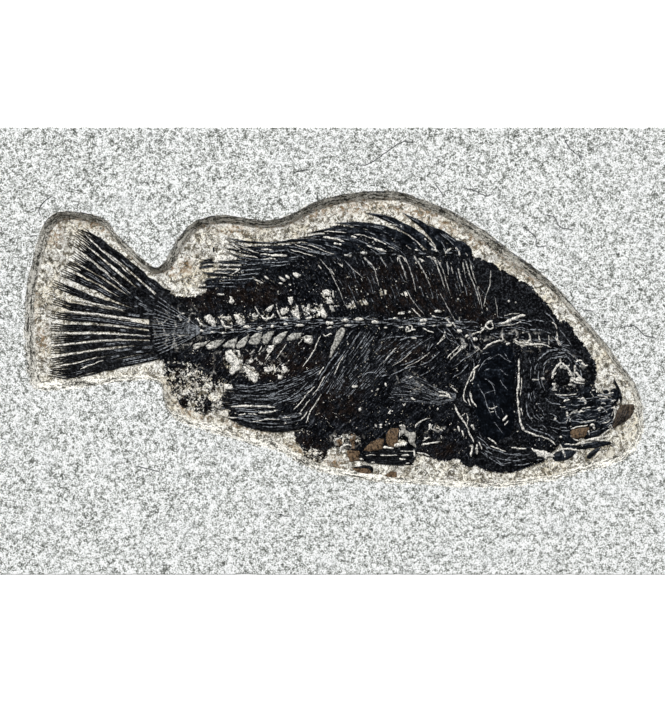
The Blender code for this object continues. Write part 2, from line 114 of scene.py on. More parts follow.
def smooth(points, spacing, closed=False):
    """Evenly spaced points along the smooth curve through the given ones."""
    given = np.array(points, float)
    if closed:
        padded = np.vstack([given[-1:], given, given[:2]])
    else:
        padded = np.vstack([2 * given[0] - given[1], given, 2 * given[-1] - given[-2]])
    t = np.linspace(0, 1, 12, endpoint=False)[:, None]
    spans = []
    for a, b, c, d in zip(padded, padded[1:], padded[2:], padded[3:]):
        bend = (2 * a - 5 * b + 4 * c - d) * t**2 + (3 * b - a - 3 * c + d) * t**3
        spans.append(0.5 * (2 * b + (c - a) * t + bend))
    curve = np.vstack(spans + [padded[-2:-1]])
    travelled = np.concatenate([[0], np.cumsum(np.linalg.norm(np.diff(curve, axis=0), axis=1))])
    count = max(int(round(travelled[-1] / spacing)), 2)
    stops = np.linspace(0, travelled[-1], count + 1)
    if closed:
        stops = stops[:-1]
    return np.stack([np.interp(stops, travelled, curve[:, k]) for k in range(curve.shape[1])], axis=1)


def rough(points, size, seed=0.0):
    """Noise from about -1 to 1 at each point, with bumps of the given size."""
    return np.array([noise.noise(Vector((p[0] / size, p[1] / size, seed))) for p in points])


def inward(loop):
    """The unit direction to the inside of a closed loop, at each of its points."""
    along = np.roll(loop, -1, 0) - np.roll(loop, 1, 0)
    along /= np.linalg.norm(along, axis=1)[:, None]
    nxt = np.roll(loop, -1, 0)
    clockwise = np.sum(loop[:, 0] * nxt[:, 1] - loop[:, 1] * nxt[:, 0]) < 0
    side = -1 if clockwise else 1
    return np.stack([-along[:, 1], along[:, 0]], axis=1) * side


def sideways(line):
    """The unit direction across an open line, at each of its points."""
    along = np.gradient(line, axis=0)
    along /= np.linalg.norm(along, axis=1)[:, None]
    return np.stack([-along[:, 1], along[:, 0]], axis=1)


def hexagonal(low, high, spacing):
    """Points in staggered rows over a rectangle, each nudged a little so that no row shows."""
    rows = []
    for i, y in enumerate(np.arange(low[1], high[1], spacing * 0.87)):
        xs = np.arange(low[0] + (i % 2) * spacing / 2, high[0], spacing)
        rows.append(np.stack([xs, np.full_like(xs, y)], axis=1))
    points = np.vstack(rows)
    nudge = np.stack([rough(points, spacing * 1.7, 3.1), rough(points, spacing * 1.7, 9.7)], axis=1)
    return points + nudge * spacing * 0.35


def inside(points, outline):
    """Which points lie inside a closed outline."""
    x, y = points[:, 0], points[:, 1]
    within = np.zeros(len(points), bool)
    for (x0, y0), (x1, y1) in zip(outline, np.roll(outline, -1, 0)):
        if y0 != y1:
            crosses = (y0 > y) != (y1 > y)
            within ^= crosses & (x < (x1 - x0) * (y - y0) / (y1 - y0) + x0)
    return within


def distance_to(points, line, closed=True):
    """The distance from each point to a line of straight stretches."""
    ends = np.roll(line, -1, 0) if closed else line[1:]
    starts = line if closed else line[:-1]
    nearest = np.full(len(points), 1.0)
    for a, b in zip(starts, ends):
        ab = b - a
        share = np.clip(((points - a) @ ab) / max(ab @ ab, 1e-18), 0, 1)
        nearest = np.minimum(nearest, np.linalg.norm(points - a - share[:, None] * ab, axis=1))
    return nearest


def loose_points(rim, spacing, margin):
    """Staggered points inside an outline, clear of it by a margin."""
    points = hexagonal(rim.min(0), rim.max(0), spacing)
    points = points[inside(points, rim)]
    return points[distance_to(points, rim) > margin]


def triangles_between(points, loops):
    """Triangles over all the points inside the outer loop, with every loop kept as edges."""
    edges = []
    for first, count, closed in loops:
        edges += [(first + i, first + (i + 1) % count) for i in range(count if closed else count - 1)]
    found = delaunay_2d_cdt([Vector(p) for p in points], edges, [], 1, 1e-9)
    places, faces, came_from = found[0], found[2], found[3]
    return [tuple(p) for p in places], faces, [origin[0] if origin else -1 for origin in came_from]


def depth_in(points, ovals):
    """How far each point lies inside the ovals, below zero outside."""
    deepest = np.full(len(points), -1.0)
    for u, v, half_length, half_width, turn in ovals:
        c, s = math.cos(math.radians(turn)), -math.sin(math.radians(turn))
        away = points - at(u, v)
        r = np.hypot(away @ (c, s) / (half_length * GRID), away @ (-s, c) / (half_width * GRID))
        deepest = np.maximum(deepest, (1 - r) * min(half_length, half_width) * GRID)
    return deepest


brink = smooth([at(*p) for p in BRINK], BRINK_SPACING, closed=True)
brink += inward(brink) * (rough(brink, 0.004) * 0.00035 + rough(brink, 0.0014, 5) * 0.0001)[:, None]
breadth = 0.95 + 0.12 * -inward(brink)[:, 1] + 0.22 * inward(brink)[:, 0] + 0.22 * rough(brink, 0.03, 2.5)
breadth += 0.45 * np.clip(0.5 + depth_in(brink, WIDE_WALL) / 0.006, 0, 1)
step = WALL_WIDTH / WALL_STEPS * breadth
wall_lines = [brink]
for _ in range(WALL_STEPS):
    moved = wall_lines[-1] + inward(wall_lines[-1]) * step[:, None]
    wall_lines.append(0.6 * moved + 0.2 * (np.roll(moved, -1, 0) + np.roll(moved, 1, 0)))
wall_lines = np.array(wall_lines)


def across_wall(share):
    """Points down the wall, from 0 at the brink to 1 at the foot, with a share for each point along it."""
    place = np.clip(share, 0, 1) * WALL_STEPS
    low = np.minimum(place.astype(int), WALL_STEPS - 1)
    part = (place - low)[:, None]
    index = np.arange(len(brink))
    return wall_lines[low, index] * (1 - part) + wall_lines[low + 1, index] * part


rings = [(brink, np.full(len(brink), FACE), 0.0)]
drop = HOLLOW_DEPTH / LAYERS
for layer in range(LAYERS):
    wander = rough(brink, 0.006, 20 + layer) * 0.5 + rough(brink, 0.0022, 40 + layer) * 0.32
    edge = (layer + 0.45 + 0.55 * wander) / LAYERS
    top = FACE - layer * drop
    chip = rough(brink, 0.0016, 60 + layer) * 0.00004
    rings.append((across_wall(edge), top - 0.3 * drop + chip, (layer + 0.45) / LAYERS))
    rings.append((across_wall(edge + 0.30 / LAYERS), top - drop + chip, (layer + 0.75) / LAYERS))
rings.append((across_wall(np.full(len(brink), 1.0)), np.full(len(brink), BED), BED_SHARE))
foot = rings[-1][0]

slab_mesh = bmesh.new()
down_wall = slab_mesh.verts.layers.float.new("down_wall")
rust_and_shade = slab_mesh.verts.layers.float.new("rust_and_shade")
ring_verts = []
mottled = np.clip(0.5 + depth_in(brink, MOTTLED_WALL) / 0.004, 0, 1)
# Painted shade: the walls that face down the slab, away from the light, carry a share that darkens their
# colour, half as much where the wall is mottled like the bed. The same value carries rust on the bed and
# painted shade in the skin's cracks.
shaded = np.clip(-inward(brink)[:, 1], 0, 1) * (1 - 0.5 * mottled)
for line, heights, share in rings:
    ring_verts.append([slab_mesh.verts.new((*p, z)) for p, z in zip(line, heights)])
    for vert, shade, like_bed in zip(ring_verts[-1], shaded, mottled):
        vert[down_wall] = min(share + 0.9 * like_bed * min(share / 0.3, 1), BED_SHARE)
        vert[rust_and_shade] = shade if share > 0 else 0


def band(mesh, upper, lower):
    """A ring of faces between two loops of vertices."""
    for i in range(len(upper)):
        j = (i + 1) % len(upper)
        mesh.faces.new((upper[i], upper[j], lower[j], lower[i]))


for upper, lower in zip(ring_verts, ring_verts[1:]):
    band(slab_mesh, upper, lower)


def bed_height(points):
    """The height of the layer that the fish lies on, which is a little uneven."""
    return BED + 0.00010 * rough(points, 0.006, 7) + 0.00007 * rough(points, 0.0022, 11)


def fill_sheet(mesh, rim_verts, extra_loops, loose, height_of):
    """Fills between loops of existing vertices with triangles through loose points of their own height."""
    known = [v for loop in rim_verts for v in loop]
    flat = [(v.co.x, v.co.y) for v in known]
    loops = []
    first = 0
    for loop in rim_verts:
        loops.append((first, len(loop), True))
        first += len(loop)
    for line in extra_loops:
        loops.append((first, len(line), False))
        flat += [tuple(p) for p in line]
        first += len(line)
    flat += [tuple(p) for p in loose]
    places, faces, came_from = triangles_between(flat, loops)
    heights = height_of(np.array(places))
    verts = []
    for place, height, origin in zip(places, heights, came_from):
        known_one = known[origin] if 0 <= origin < len(known) else None
        verts.append(known_one or mesh.verts.new((*place, height)))
    return verts, faces


def sheet(mesh, rim, loose, height_of, facing_down=False):
    """A sheet of triangles inside one loop of vertices. Returns the sheet's vertices."""
    verts, faces = fill_sheet(mesh, [rim], [], loose, height_of)
    for face in faces:
        mesh.faces.new([verts[i] for i in (reversed(face) if facing_down else face)])
    return verts


verts = sheet(slab_mesh, ring_verts[-1], loose_points(foot, BED_SPACING, 0.0005), bed_height)
for vert, depth in zip(verts, depth_in(np.array([v.co.xy for v in verts]), STAINS)):
    vert[down_wall] = max(vert[down_wall], BED_SHARE)
    vert[rust_and_shade] = min(max(0.5 + depth / 0.003, 0), 1)

# The skin round the hollow, with hairline cracks as narrow grooves, and the sawn sides and underside.
SIDE_SPACING = 0.0016
EASE = 0.0005
SAWN_CHIP = 0.0011
SAWN_LEVELS = (0.85, 0.7, 0.55, 0.4, 0.25)
FACE_SPACING = 0.0035
FACE_MARGIN = 0.0012


def rectangle(low, high, spacing):
    """Evenly spaced points round a rectangle."""
    corners = [(low[0], low[1]), (high[0], low[1]), (high[0], high[1]), (low[0], high[1])]
    line = []
    for a, b in zip(corners, corners[1:] + corners[:1]):
        a, b = np.array(a), np.array(b)
        count = int(np.linalg.norm(b - a) / spacing)
        line += [a + (b - a) * i / count for i in range(count)]
    return np.array(line)


sawn = rectangle(slab_low.xy, slab_high.xy, SIDE_SPACING)
chips = np.clip(rough(sawn, 0.011, 3) * 1.2 + rough(sawn, 0.003, 8) * 0.8 - 0.45, 0, 1) * SAWN_CHIP
side_levels = [(FACE, EASE * 0.9), (FACE - EASE * 0.45, EASE * 0.25), (FACE - EASE, 0.0)]
side_levels += [(FACE * share, 0.0) for share in SAWN_LEVELS] + [(EASE, 0.0), (0.0, EASE)]
side_rings = []
for z, ease in side_levels:
    near_face = max(0.0, 1 - (FACE - z) / 0.0016)
    saw_mark = 0.00004 + 0.00005 * rough(sawn + z * 3, 0.007, z * 900)
    depth = ease + chips * near_face + np.abs(saw_mark)
    line = sawn + inward(sawn) * depth[:, None]
    side_rings.append([slab_mesh.verts.new((*p, z)) for p in line])
    for vert in side_rings[-1]:
        vert[down_wall] = -1.0
for upper, lower in zip(side_rings, side_rings[1:]):
    band(slab_mesh, upper, lower)
slab_mesh.faces.new(side_rings[-1])

crack_sides = []
crack_middles = []
for crack in CRACKS:
    line = smooth([at(*p) for p in crack], CRACK_SPACING)
    line[:, 1] += rough(line, 0.0016, 4) * CRACK_WANDER
    line[:, 0] += rough(line, 0.0016, 14) * CRACK_WANDER
    taper = np.minimum(1, np.minimum(np.arange(len(line)), np.arange(len(line))[::-1]) / 3 + 0.15)
    reach = sideways(line) * (CRACK_HALF_WIDTH * taper)[:, None]
    crack_middles.append(line)
    crack_sides += [line + reach, line - reach]


def skin_height(points):
    """The height of the slab's skin, with the cracks sunk in it."""
    height = FACE - 0.00004 + 0.00004 * rough(points, 0.009, 5)
    for line in crack_middles:
        low, high = line.min(0) - 0.001, line.max(0) + 0.001
        near = np.all((points > low) & (points < high), axis=1)
        if near.any():
            away = distance_to(points[near], line, closed=False)
            height[near] -= CRACK_DEPTH * np.clip(1 - away / (0.6 * CRACK_HALF_WIDTH), 0, 1)
    return height


def crack_gap(points):
    """How far each point lies from the nearest crack."""
    return np.min([distance_to(points, line, closed=False) for line in crack_middles], axis=0)


skin_points = hexagonal(slab_low.xy, slab_high.xy, FACE_SPACING)
edge_line = np.array([v.co.xy for v in side_rings[0]])
clear = inside(skin_points, edge_line) & ~inside(skin_points, brink)
for line in (edge_line, brink):
    clear &= distance_to(skin_points, line) > FACE_MARGIN
skin_points = skin_points[clear]
skin_points = skin_points[crack_gap(skin_points) > FACE_MARGIN]
skin_rims = [side_rings[0], ring_verts[0]]
verts, faces = fill_sheet(slab_mesh, skin_rims, crack_sides + crack_middles, skin_points, skin_height)
flat = np.array([v.co.xy for v in verts])
over_hollow = inside(flat[np.array(faces)].mean(axis=1), brink)
in_crack = crack_gap(flat) < 0.00001
brink_verts = set(ring_verts[0])
worn = np.clip(0.5 + depth_in(flat, WORN_BRINK) / 0.004, 0, 1)
# The skin's cracks carry painted shade, which darkens their colour.
for vert, dark, share in zip(verts, in_crack, worn):
    if vert not in brink_verts:
        vert[down_wall] = -1.0 + 0.75 * share
        vert[rust_and_shade] = float(dark)
for face, hollow in zip(faces, over_hollow):
    if not hollow:
        slab_mesh.faces.new([verts[i] for i in face])
bmesh.ops.delete(slab_mesh, geom=[v for v in slab_mesh.verts if not v.link_faces], context="VERTS")
bmesh.ops.recalc_face_normals(slab_mesh, faces=slab_mesh.faces)


def finish_mesh(name, mesh, look, slot, *nodes):
    """Makes a finished mesh a piece that rides with the slab."""
    data = bpy.data.meshes.new(name)
    mesh.to_mesh(data)
    mesh.free()
    piece = bpy.data.objects.new(name, data)
    bpy.context.scene.collection.objects.link(piece)
    data.materials.append(look)
    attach(piece, "root")
    if nodes:
        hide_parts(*nodes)
    return piece


def new_look(name, roughness, specular=0.5):
    """A material with its node tree, its shader and the object's own coordinates."""
    look = bpy.data.materials.new(name)
    look.use_nodes = True
    shader = look.node_tree.nodes["Principled BSDF"]
    shader.inputs["Roughness"].default_value = roughness
    shader.inputs["Specular IOR Level"].default_value = specular
    place = look.node_tree.nodes.new("ShaderNodeTexCoord").outputs["Object"]
    return look, look.node_tree, shader, place


def put(tree, kind, sockets, **settings):
    """A node with its settings, and its sockets given values or joined to other nodes' outputs."""
    node = tree.nodes.new("ShaderNode" + kind)
    for key, value in settings.items():
        setattr(node, key, value)
    for socket, value in sockets.items():
        if isinstance(value, bpy.types.NodeSocket):
            tree.links.new(value, node.inputs[socket])
        else:
            node.inputs[socket].default_value = value
    return node.outputs[0]


def grain(tree, place, scale, detail=2.0, roughness=0.5, distortion=0.0):
    """Noise about a half, with a number of bumps to the metre."""
    return put(tree, "TexNoise", {"Vector": place, "Scale": scale, "Detail": detail, "Roughness": roughness,
                                  "Distortion": distortion})


def step_up(tree, value, low, high):
    """0 below low, 1 above high, and a smooth rise between."""
    return put(tree, "MapRange", {0: value, 1: low, 2: high}, interpolation_type="SMOOTHSTEP")


def blend(tree, share, first, second):
    """A mix of two colours, each a colour or another node's output."""
    node = tree.nodes.new("ShaderNodeMix")
    node.data_type = "RGBA"
    for socket, value in ((0, share), (6, first), (7, second)):
        if isinstance(value, bpy.types.NodeSocket):
            tree.links.new(value, node.inputs[socket])
        else:
            node.inputs[socket].default_value = value if isinstance(value, float) else (*value, 1)
    return node.outputs[2]


def raised(tree, shader, height, strength, distance):
    """Gives the shader a fine relief."""
    bump = tree.nodes.new("ShaderNodeBump")
    bump.inputs["Strength"].default_value = strength
    bump.inputs["Distance"].default_value = distance
    tree.links.new(height, bump.inputs["Height"])
    tree.links.new(bump.outputs[0], shader.inputs["Normal"])


def stretched(tree, place, turn, along, across):
    """Coordinates turned and scaled, so that grain runs along one direction."""
    node = tree.nodes.new("ShaderNodeMapping")
    node.vector_type = "TEXTURE"
    node.inputs["Rotation"].default_value = (0, 0, math.radians(turn))
    node.inputs["Scale"].default_value = (along, across, across)
    tree.links.new(place, node.inputs["Vector"])
    return node.outputs[0]


def attribute(tree, name):
    """A value that the mesh's points carry."""
    return put(tree, "Attribute", {}, attribute_name=name).node.outputs["Fac"]


def combine(tree, operation, first, second):
    """Two values combined."""
    return put(tree, "Math", {0: first, 1: second}, operation=operation)


def mixed(tree, first, first_share, second, second_share):
    """The sum of two values, each in its share."""
    second = combine(tree, "MULTIPLY", second, second_share)
    return combine(tree, "ADD", combine(tree, "MULTIPLY", first, first_share), second)


def vectors(tree, operation, first, second):
    """Two vectors or colours combined."""
    return put(tree, "VectorMath", {0: first, 1: second}, operation=operation)


def spread(tree, value, low, high, start=0.0, end=1.0):
    """A value brought from the range between start and end to the one between low and high."""
    return put(tree, "MapRange", {0: value, 1: start, 2: end, 3: low, 4: high})


def tones(tree, value, *stops):
    """Colours along a value, each stop a place and a colour."""
    ramp_colour = put(tree, "ValToRGB", {"Fac": value})
    ramp = ramp_colour.node.color_ramp
    for number, (stop, colour) in enumerate(stops):
        element = ramp.elements[number] if number < 2 else ramp.elements.new(stop)
        if number < 2:
            element.position = stop
        element.color = (*colour, 1)
    return ramp_colour


def curls(tree, place, scale, width):
    """Thin curling lines: 0 on the lines, and 1 away from them."""
    wave = combine(tree, "SUBTRACT", grain(tree, place, scale, 2, 0.55, 1.2), 0.5)
    return step_up(tree, combine(tree, "ABSOLUTE", wave, 0.0), 0.0, width)


def bed_colour(tree, place):
    """The cream layer that the fish lies on, with tan specks and curling brown lines."""
    speck = mixed(tree, grain(tree, place, 400, 3, 0.6, 0.8), 0.80, grain(tree, place, 1200, 2, 0.6), 0.20)
    # Painted shade: the bed is made darker towards the bottom of the slab.
    up_the_slab = put(tree, "SeparateXYZ", {"Vector": place}).node.outputs["Y"]
    shadow = spread(tree, up_the_slab, -0.012, -0.001, start=-0.060, end=0.01)
    tone = tones(tree, combine(tree, "ADD", speck, shadow),
                 (0.405, (0.050, 0.046, 0.036)), (0.440, (0.15, 0.140, 0.112)), (0.471, (0.40, 0.378, 0.318)),
                 (0.497, (0.88, 0.86, 0.785)), (0.535, (1.0, 1.0, 0.98)))
    tint = tones(tree, grain(tree, place, 170, 3, 0.6),
                 (0.37, (0.62, 0.61, 0.59)), (0.48, (0.98, 0.975, 0.95)), (0.60, (1.0, 0.975, 0.91)))
    ochre = tones(tree, grain(tree, place, 75, 3, 0.6), (0.40, (0.86, 0.82, 0.74)), (0.50, (1.0, 1.0, 1.0)))
    tone = vectors(tree, "MULTIPLY", vectors(tree, "MULTIPLY", tone, tint), ochre)
    tone = blend(tree, curls(tree, place, 310, 0.030), (1.0, 0.99, 0.95), tone)
    tone = blend(tree, curls(tree, place, 520, 0.028), (0.24, 0.215, 0.165), tone)
    return blend(tree, curls(tree, place, 250, 0.036), (0.15, 0.13, 0.095), tone)


limestone, tree, shader, place = new_look("limestone", 0.85, 0.25)
mottle = mixed(tree, grain(tree, place, 520, 2, 0.6), 0.35, grain(tree, place, 1750, 2, 0.7), 0.65)
# Painted light: the skin is made paler towards the lower right of the slab.
painted_light_lower_right = vectors(tree, "DOT_PRODUCT", place, (0.35, -1, 0)).node.outputs["Value"]
painted_light_lower_right = spread(tree, painted_light_lower_right, 0.001, 0.013, start=-0.10, end=0.13)
skin_tone = tones(tree, combine(tree, "ADD", mottle, painted_light_lower_right),
                  (0.385, (0.045, 0.048, 0.042)), (0.438, (0.16, 0.17, 0.15)), (0.473, (0.38, 0.395, 0.37)),
                  (0.509, (0.75, 0.77, 0.75)), (0.545, (0.97, 0.985, 0.99)), (0.59, (1.0, 1.0, 1.0)))
frost = step_up(tree, grain(tree, place, 70, 3, 0.6), 0.48, 0.72)
skin_tone = blend(tree, combine(tree, "MULTIPLY", frost, 0.20), skin_tone, (0.95, 0.97, 1.0))
skin_tone = blend(tree, curls(tree, place, 260, 0.010), (0.30, 0.31, 0.29), skin_tone)
# One value carries rust on the bed, painted shade on the walls that face away from the light, and painted
# shade in the skin's cracks, where it darkens the skin here.
rust_and_shade_value = attribute(tree, "rust_and_shade")
skin_tone = blend(tree, step_up(tree, rust_and_shade_value, 0.0, 0.6), skin_tone, (0.13, 0.135, 0.14))
# The wall's layers follow the way down it, a little swirled.
down = attribute(tree, "down_wall")
swirl = spread(tree, grain(tree, place, 330, 3, 0.6, 1.0), -0.42, 0.42)
layer_height = combine(tree, "MULTIPLY", combine(tree, "ADD", down, swirl), 0.034)
layer_place = put(tree, "CombineXYZ", {"Z": layer_height})
layer_place = vectors(tree, "ADD", layer_place, vectors(tree, "MULTIPLY", place, (1, 1, 0)))
lamina = grain(tree, vectors(tree, "MULTIPLY", layer_place, (0.55, 0.55, 1)), 210, 2, 0.6)
wall_grain = combine(tree, "MULTIPLY", combine(tree, "SUBTRACT", mottle, 0.5), 1.05)
wall_tone = tones(tree, combine(tree, "ADD", lamina, wall_grain),
                  (0.37, (0.035, 0.033, 0.027)), (0.43, (0.15, 0.145, 0.125)), (0.485, (0.40, 0.39, 0.34)),
                  (0.535, (0.77, 0.75, 0.68)), (0.60, (0.95, 0.925, 0.86)))
# Painted shade: the walls that face away from the light are darkened, broken up by noise.
shade_grain = spread(tree, grain(tree, place, 420, 3, 0.7), 1.0, 0.22, start=0.36, end=0.62)
shade = combine(tree, "MULTIPLY", rust_and_shade_value, shade_grain)
wall_tone = blend(tree, shade, wall_tone, vectors(tree, "MULTIPLY", wall_tone, (0.40, 0.385, 0.34)))
# The skin gives way to the wall, the wall to the bed, and all of them to the sawn sides.
down = combine(tree, "ADD", down, spread(tree, grain(tree, place, 600, 3, 0.75), -0.85, 0.85))
stone_tone = blend(tree, step_up(tree, down, -0.06, 0.12), skin_tone, wall_tone)
rusty = combine(tree, "MULTIPLY", rust_and_shade_value, step_up(tree, grain(tree, place, 600, 3), 0.42, 0.6))
rusty = combine(tree, "MULTIPLY", rusty, 0.6)
bed_tone = blend(tree, rusty, bed_colour(tree, place), (0.32, 0.20, 0.095))
stone_tone = blend(tree, step_up(tree, down, 0.80, 1.02), stone_tone, bed_tone)
saw_lines = grain(tree, stretched(tree, place, 0, 8, 1), 500, 3, 0.6)
saw_tone = tones(tree, saw_lines, (0.35, (0.36, 0.335, 0.28)), (0.65, (0.66, 0.63, 0.56)))
height = put(tree, "SeparateXYZ", {"Vector": place}).node.outputs["Z"]
stone_tone = blend(tree, step_up(tree, height, BED - 0.0006, BED - 0.0010), stone_tone, saw_tone)
tree.links.new(stone_tone, shader.inputs["Base Color"])
raised(tree, shader, combine(tree, "ADD", mottle, lamina), 0.6, 0.0002)

finish_mesh("limestone_slab", slab_mesh, limestone, "limestone", "slab")

# THE SKIN
# The flank's skin and scales, pressed to a thin black mineral film on the stone, which bulges a little under
# the body. It has flaked off in ragged patches, mostly between the bones near the tail, where the cream
# stone shows, and it is brown where it is thinnest.
SKIN = (
    (152, 300), (158, 292), (166, 291), (176, 296), (188, 297), (199, 295), (206, 290), (205, 281),
    (214, 277), (226, 276), (234, 272), (240, 267), (243, 260), (245, 253), (251, 248.5), (262, 246),
    (280, 245), (300, 243), (313, 240), (322, 235), (332, 226), (350, 226), (370, 229), (385, 232.5),
    (400, 237.5), (412, 243), (420, 248), (427, 250), (434, 250.5), (436, 246), (432, 239), (430, 234.5),
    (432, 230), (440, 232), (452, 240), (460, 246), (468, 251), (478, 257), (490, 262), (500, 268),
    (510, 274), (520, 279), (530, 285), (538, 294), (546, 302), (553, 312), (559, 319), (565, 321),
    (572, 326), (576, 335), (583, 343), (588, 351), (594, 358), (597, 368), (597, 378), (595, 385),
    (598, 392), (606, 394.5), (613, 398), (618, 402), (616.5, 408), (615, 414), (615.5, 419), (611, 424),
    (603, 427.5), (594, 431.5), (585, 436), (573, 441), (563, 443), (555, 451), (545, 461), (530, 467),
    (515, 472), (500, 473), (486, 470), (478, 467), (470, 466), (462, 463), (459, 459), (450, 461),
    (437, 461), (428, 457), (418, 454), (413, 463.5), (400, 465), (384, 464), (367, 461.5), (357, 457.5),
    (353, 452), (345, 449), (335, 448), (328, 450), (326, 457), (319, 463), (310, 462), (304, 456),
    (303, 449), (295, 442), (295, 433), (300, 428), (290, 430), (278, 431), (262, 431), (245, 427),
    (232, 421), (228, 416), (229, 409), (223, 406), (219, 410), (211, 412), (203, 415), (194, 411),
    (184, 408), (177, 400), (172, 391), (167, 382), (163, 372), (164, 364), (159, 358), (154, 350),
    (152, 338), (151, 326), (150, 312),
)
# Bare patches are ovals: u, v, half length, half width, and the turn of the length in degrees.
BARE = (
    (208, 327, 5, 1.8, 40), (222, 328, 4, 1.6, 10), (353, 304.5, 5.5, 3.6, -30), (364.5, 302, 5.6, 2.8, 0),
    (382.5, 292, 3.6, 3.2, 0), (405, 294, 2.4, 2.2, 0), (258, 281.5, 5, 1.4, 42), (344.5, 320, 2.5, 1.8, 0),
    (358.5, 319.5, 4.5, 1.4, 0), (375, 321.5, 4, 1.4, 0), (203, 391, 5.4, 3.6, 0), (214, 397, 6.5, 5, 0),
    (186, 392, 4, 3, 0), (219, 391, 4, 7, 0), (172, 376, 3, 5, 20), (192, 404, 4, 3, 0),
    (142, 321, 6, 2.6, 10), (154, 324, 4.5, 2, 0), (523, 343, 7, 3, 5), (536, 345, 6, 1.8, 10),
    (541, 339, 2.2, 4, 0), (474, 446, 4, 2, 0), (400, 444, 7, 3.4, -10),
)
# Patches where the film is half gone lie between the lower spines of the tail and by the pelvic fin.
THIN = (
    (192.5, 350, 3, 2.4, 0), (192, 388, 34, 20, 45), (213, 398, 14, 14, 0), (234, 362, 10, 11, 0),
    (250, 373, 9, 8, 40), (277, 370, 14, 6, 0), (492, 409, 8, 4, 0), (440, 428, 5, 4, 30),
    (345, 441, 13, 8, 0), (305, 430, 7, 4, 0), (245, 256, 6, 10, 0), (222, 392, 10, 12, 0),
    (314, 456, 12, 8, 0), (236, 318, 36, 5, -4), (168, 368, 10, 8, 0), (328, 299, 10, 5, 62),
    (306, 311, 26, 6, 0), (222, 270, 20, 12, 0),
)
HELD = ((177.5, 378, 2.6, 6, 0), (183, 403, 5, 5, 0), (206, 405, 6, 6, 0), (178, 366, 9, 3, 10))
BROWN = (
    (315, 361, 12, 9, 0), (253, 294, 30, 12, 0), (186.5, 384, 20, 16, 40), (330, 400, 32, 20, 20),
    (345, 441, 16, 10, 0), (355, 386, 16, 10, 0), (548, 374, 4.5, 6, 0), (325, 294, 6, 3, 60),
    (405, 352, 26, 12, 10), (314, 452, 16, 14, 0), (541, 340, 4, 6, 0), (300, 390, 20, 14, 0),
    (400, 290, 60, 26, 5), (480, 300, 26, 26, 0), (280, 368, 50, 12, 0), (205, 300, 20, 12, 0),
    (300, 440, 14, 8, 0), (440, 450, 20, 8, 0), (215, 262, 10, 10, 0), (200, 395, 34, 22, 10),
    (250, 362, 40, 10, 0), (290, 358, 30, 16, 0),
)
# Bone and film are crushed, with cream cracks, along the backbone and over the face and the jaws.
CRUSHED = (
    (566, 372, 22, 20, 0), (520, 338, 36, 12, 10), (180, 328, 30, 24, 0), (200, 392, 34, 26, 0),
    (250, 358, 40, 16, 0), (470, 345, 24, 14, -20), (436, 432, 12, 8, 0), (345, 440, 20, 10, 0),
    (420, 385, 36, 10, 20),
)
BACK_LINE = (
    (152, 330), (200, 330), (240, 329), (280, 324), (320, 323), (360, 322), (400, 322), (440, 322),
    (480, 326), (600, 326),
)
SKIN_EDGE_SPACING = 0.0006
SKIN_GRAIN = 0.00058
SKIN_MARGIN = 0.0006
SKIN_LIFT = 0.00007
SKIN_THICKNESS = 0.00022
BULGE = 0.0008
BULGE_REACH = 0.006
EDGE_FADE = 0.0010
SKIRT = 0.00012
SKIN_TUCK = 0.00015

skin_edge = smooth([at(*p) for p in SKIN], SKIN_EDGE_SPACING, closed=True)
ragged = rough(skin_edge, 0.0024, 31) * 0.0005 + rough(skin_edge, 0.0010, 33) * 0.0003
skin_edge += inward(skin_edge) * ragged[:, None]
body_edge = skin_edge[::6]


def ground(points):
    """The height of what the bones lie on: the bed, or the body's low bulge on it."""
    depth = np.where(inside(points, body_edge), distance_to(points, body_edge), 0)
    return bed_height(points) + BULGE * (1 - np.exp(-depth / BULGE_REACH))


def skin_cover(points):
    """How well the film covers each point: 1 whole, 0 gone, with its ragged edges near a half."""
    within = np.where(inside(points, skin_edge), 1, -1) * distance_to(points, skin_edge)
    whole = np.clip(0.5 + within / EDGE_FADE, 0, 1)
    whole = np.minimum(whole, np.clip(0.5 - depth_in(points, BARE) / EDGE_FADE, 0, 1))
    thin = np.clip(0.5 + depth_in(points, THIN) / (2 * EDGE_FADE), 0, 1)
    held = np.clip(0.5 + depth_in(points, HELD) / EDGE_FADE, 0, 1)
    return np.maximum(np.minimum(whole, 1 - 0.44 * thin), held)


def crushed_share(points):
    """How badly the bone or the film is crushed at each point."""
    return np.clip(0.1 + depth_in(points, CRUSHED) / 0.005, 0, 1)


def close_below(mesh, rim_verts):
    """The hidden underside of a piece: a low skirt under its rim, and a floor."""
    lower = [mesh.verts.new(v.co - Vector((0, 0, SKIRT))) for v in rim_verts]
    for i in range(len(lower)):
        j = (i + 1) % len(lower)
        mesh.faces.new((rim_verts[i], lower[i], lower[j], rim_verts[j]))
    sheet(mesh, lower, [], lambda points: bed_height(points) - SKIRT, facing_down=True)


def mark(piece, name, value_of):
    """Gives a piece's points a value that its look reads."""
    points = np.array([v.co.xy for v in piece.data.vertices])
    layer = piece.data.attributes.new(name, "FLOAT", "POINT")
    layer.data.foreach_set("value", value_of(points).astype(float))


def soften(piece):
    """Shades a piece smooth."""
    piece.data.polygons.foreach_set("use_smooth", [True] * len(piece.data.polygons))


skin_rim = skin_edge - inward(skin_edge) * SKIN_MARGIN
skin_rim = skin_rim[distance_to(skin_rim, skin_edge) > 0.8 * SKIN_MARGIN]
skin_mesh = bmesh.new()
rim_heights = bed_height(skin_rim) - SKIN_TUCK
skin_rim_verts = [skin_mesh.verts.new((*p, z)) for p, z in zip(skin_rim, rim_heights)]


def skin_top(points):
    """The height of the film's face, with fine creases, down to the bed where the film is gone."""
    creases = 0.00008 * rough(points, 0.0018, 51) + 0.00005 * rough(points, 0.0009, 53)
    return ground(points) + SKIN_LIFT + (SKIN_THICKNESS + creases) * skin_cover(points)


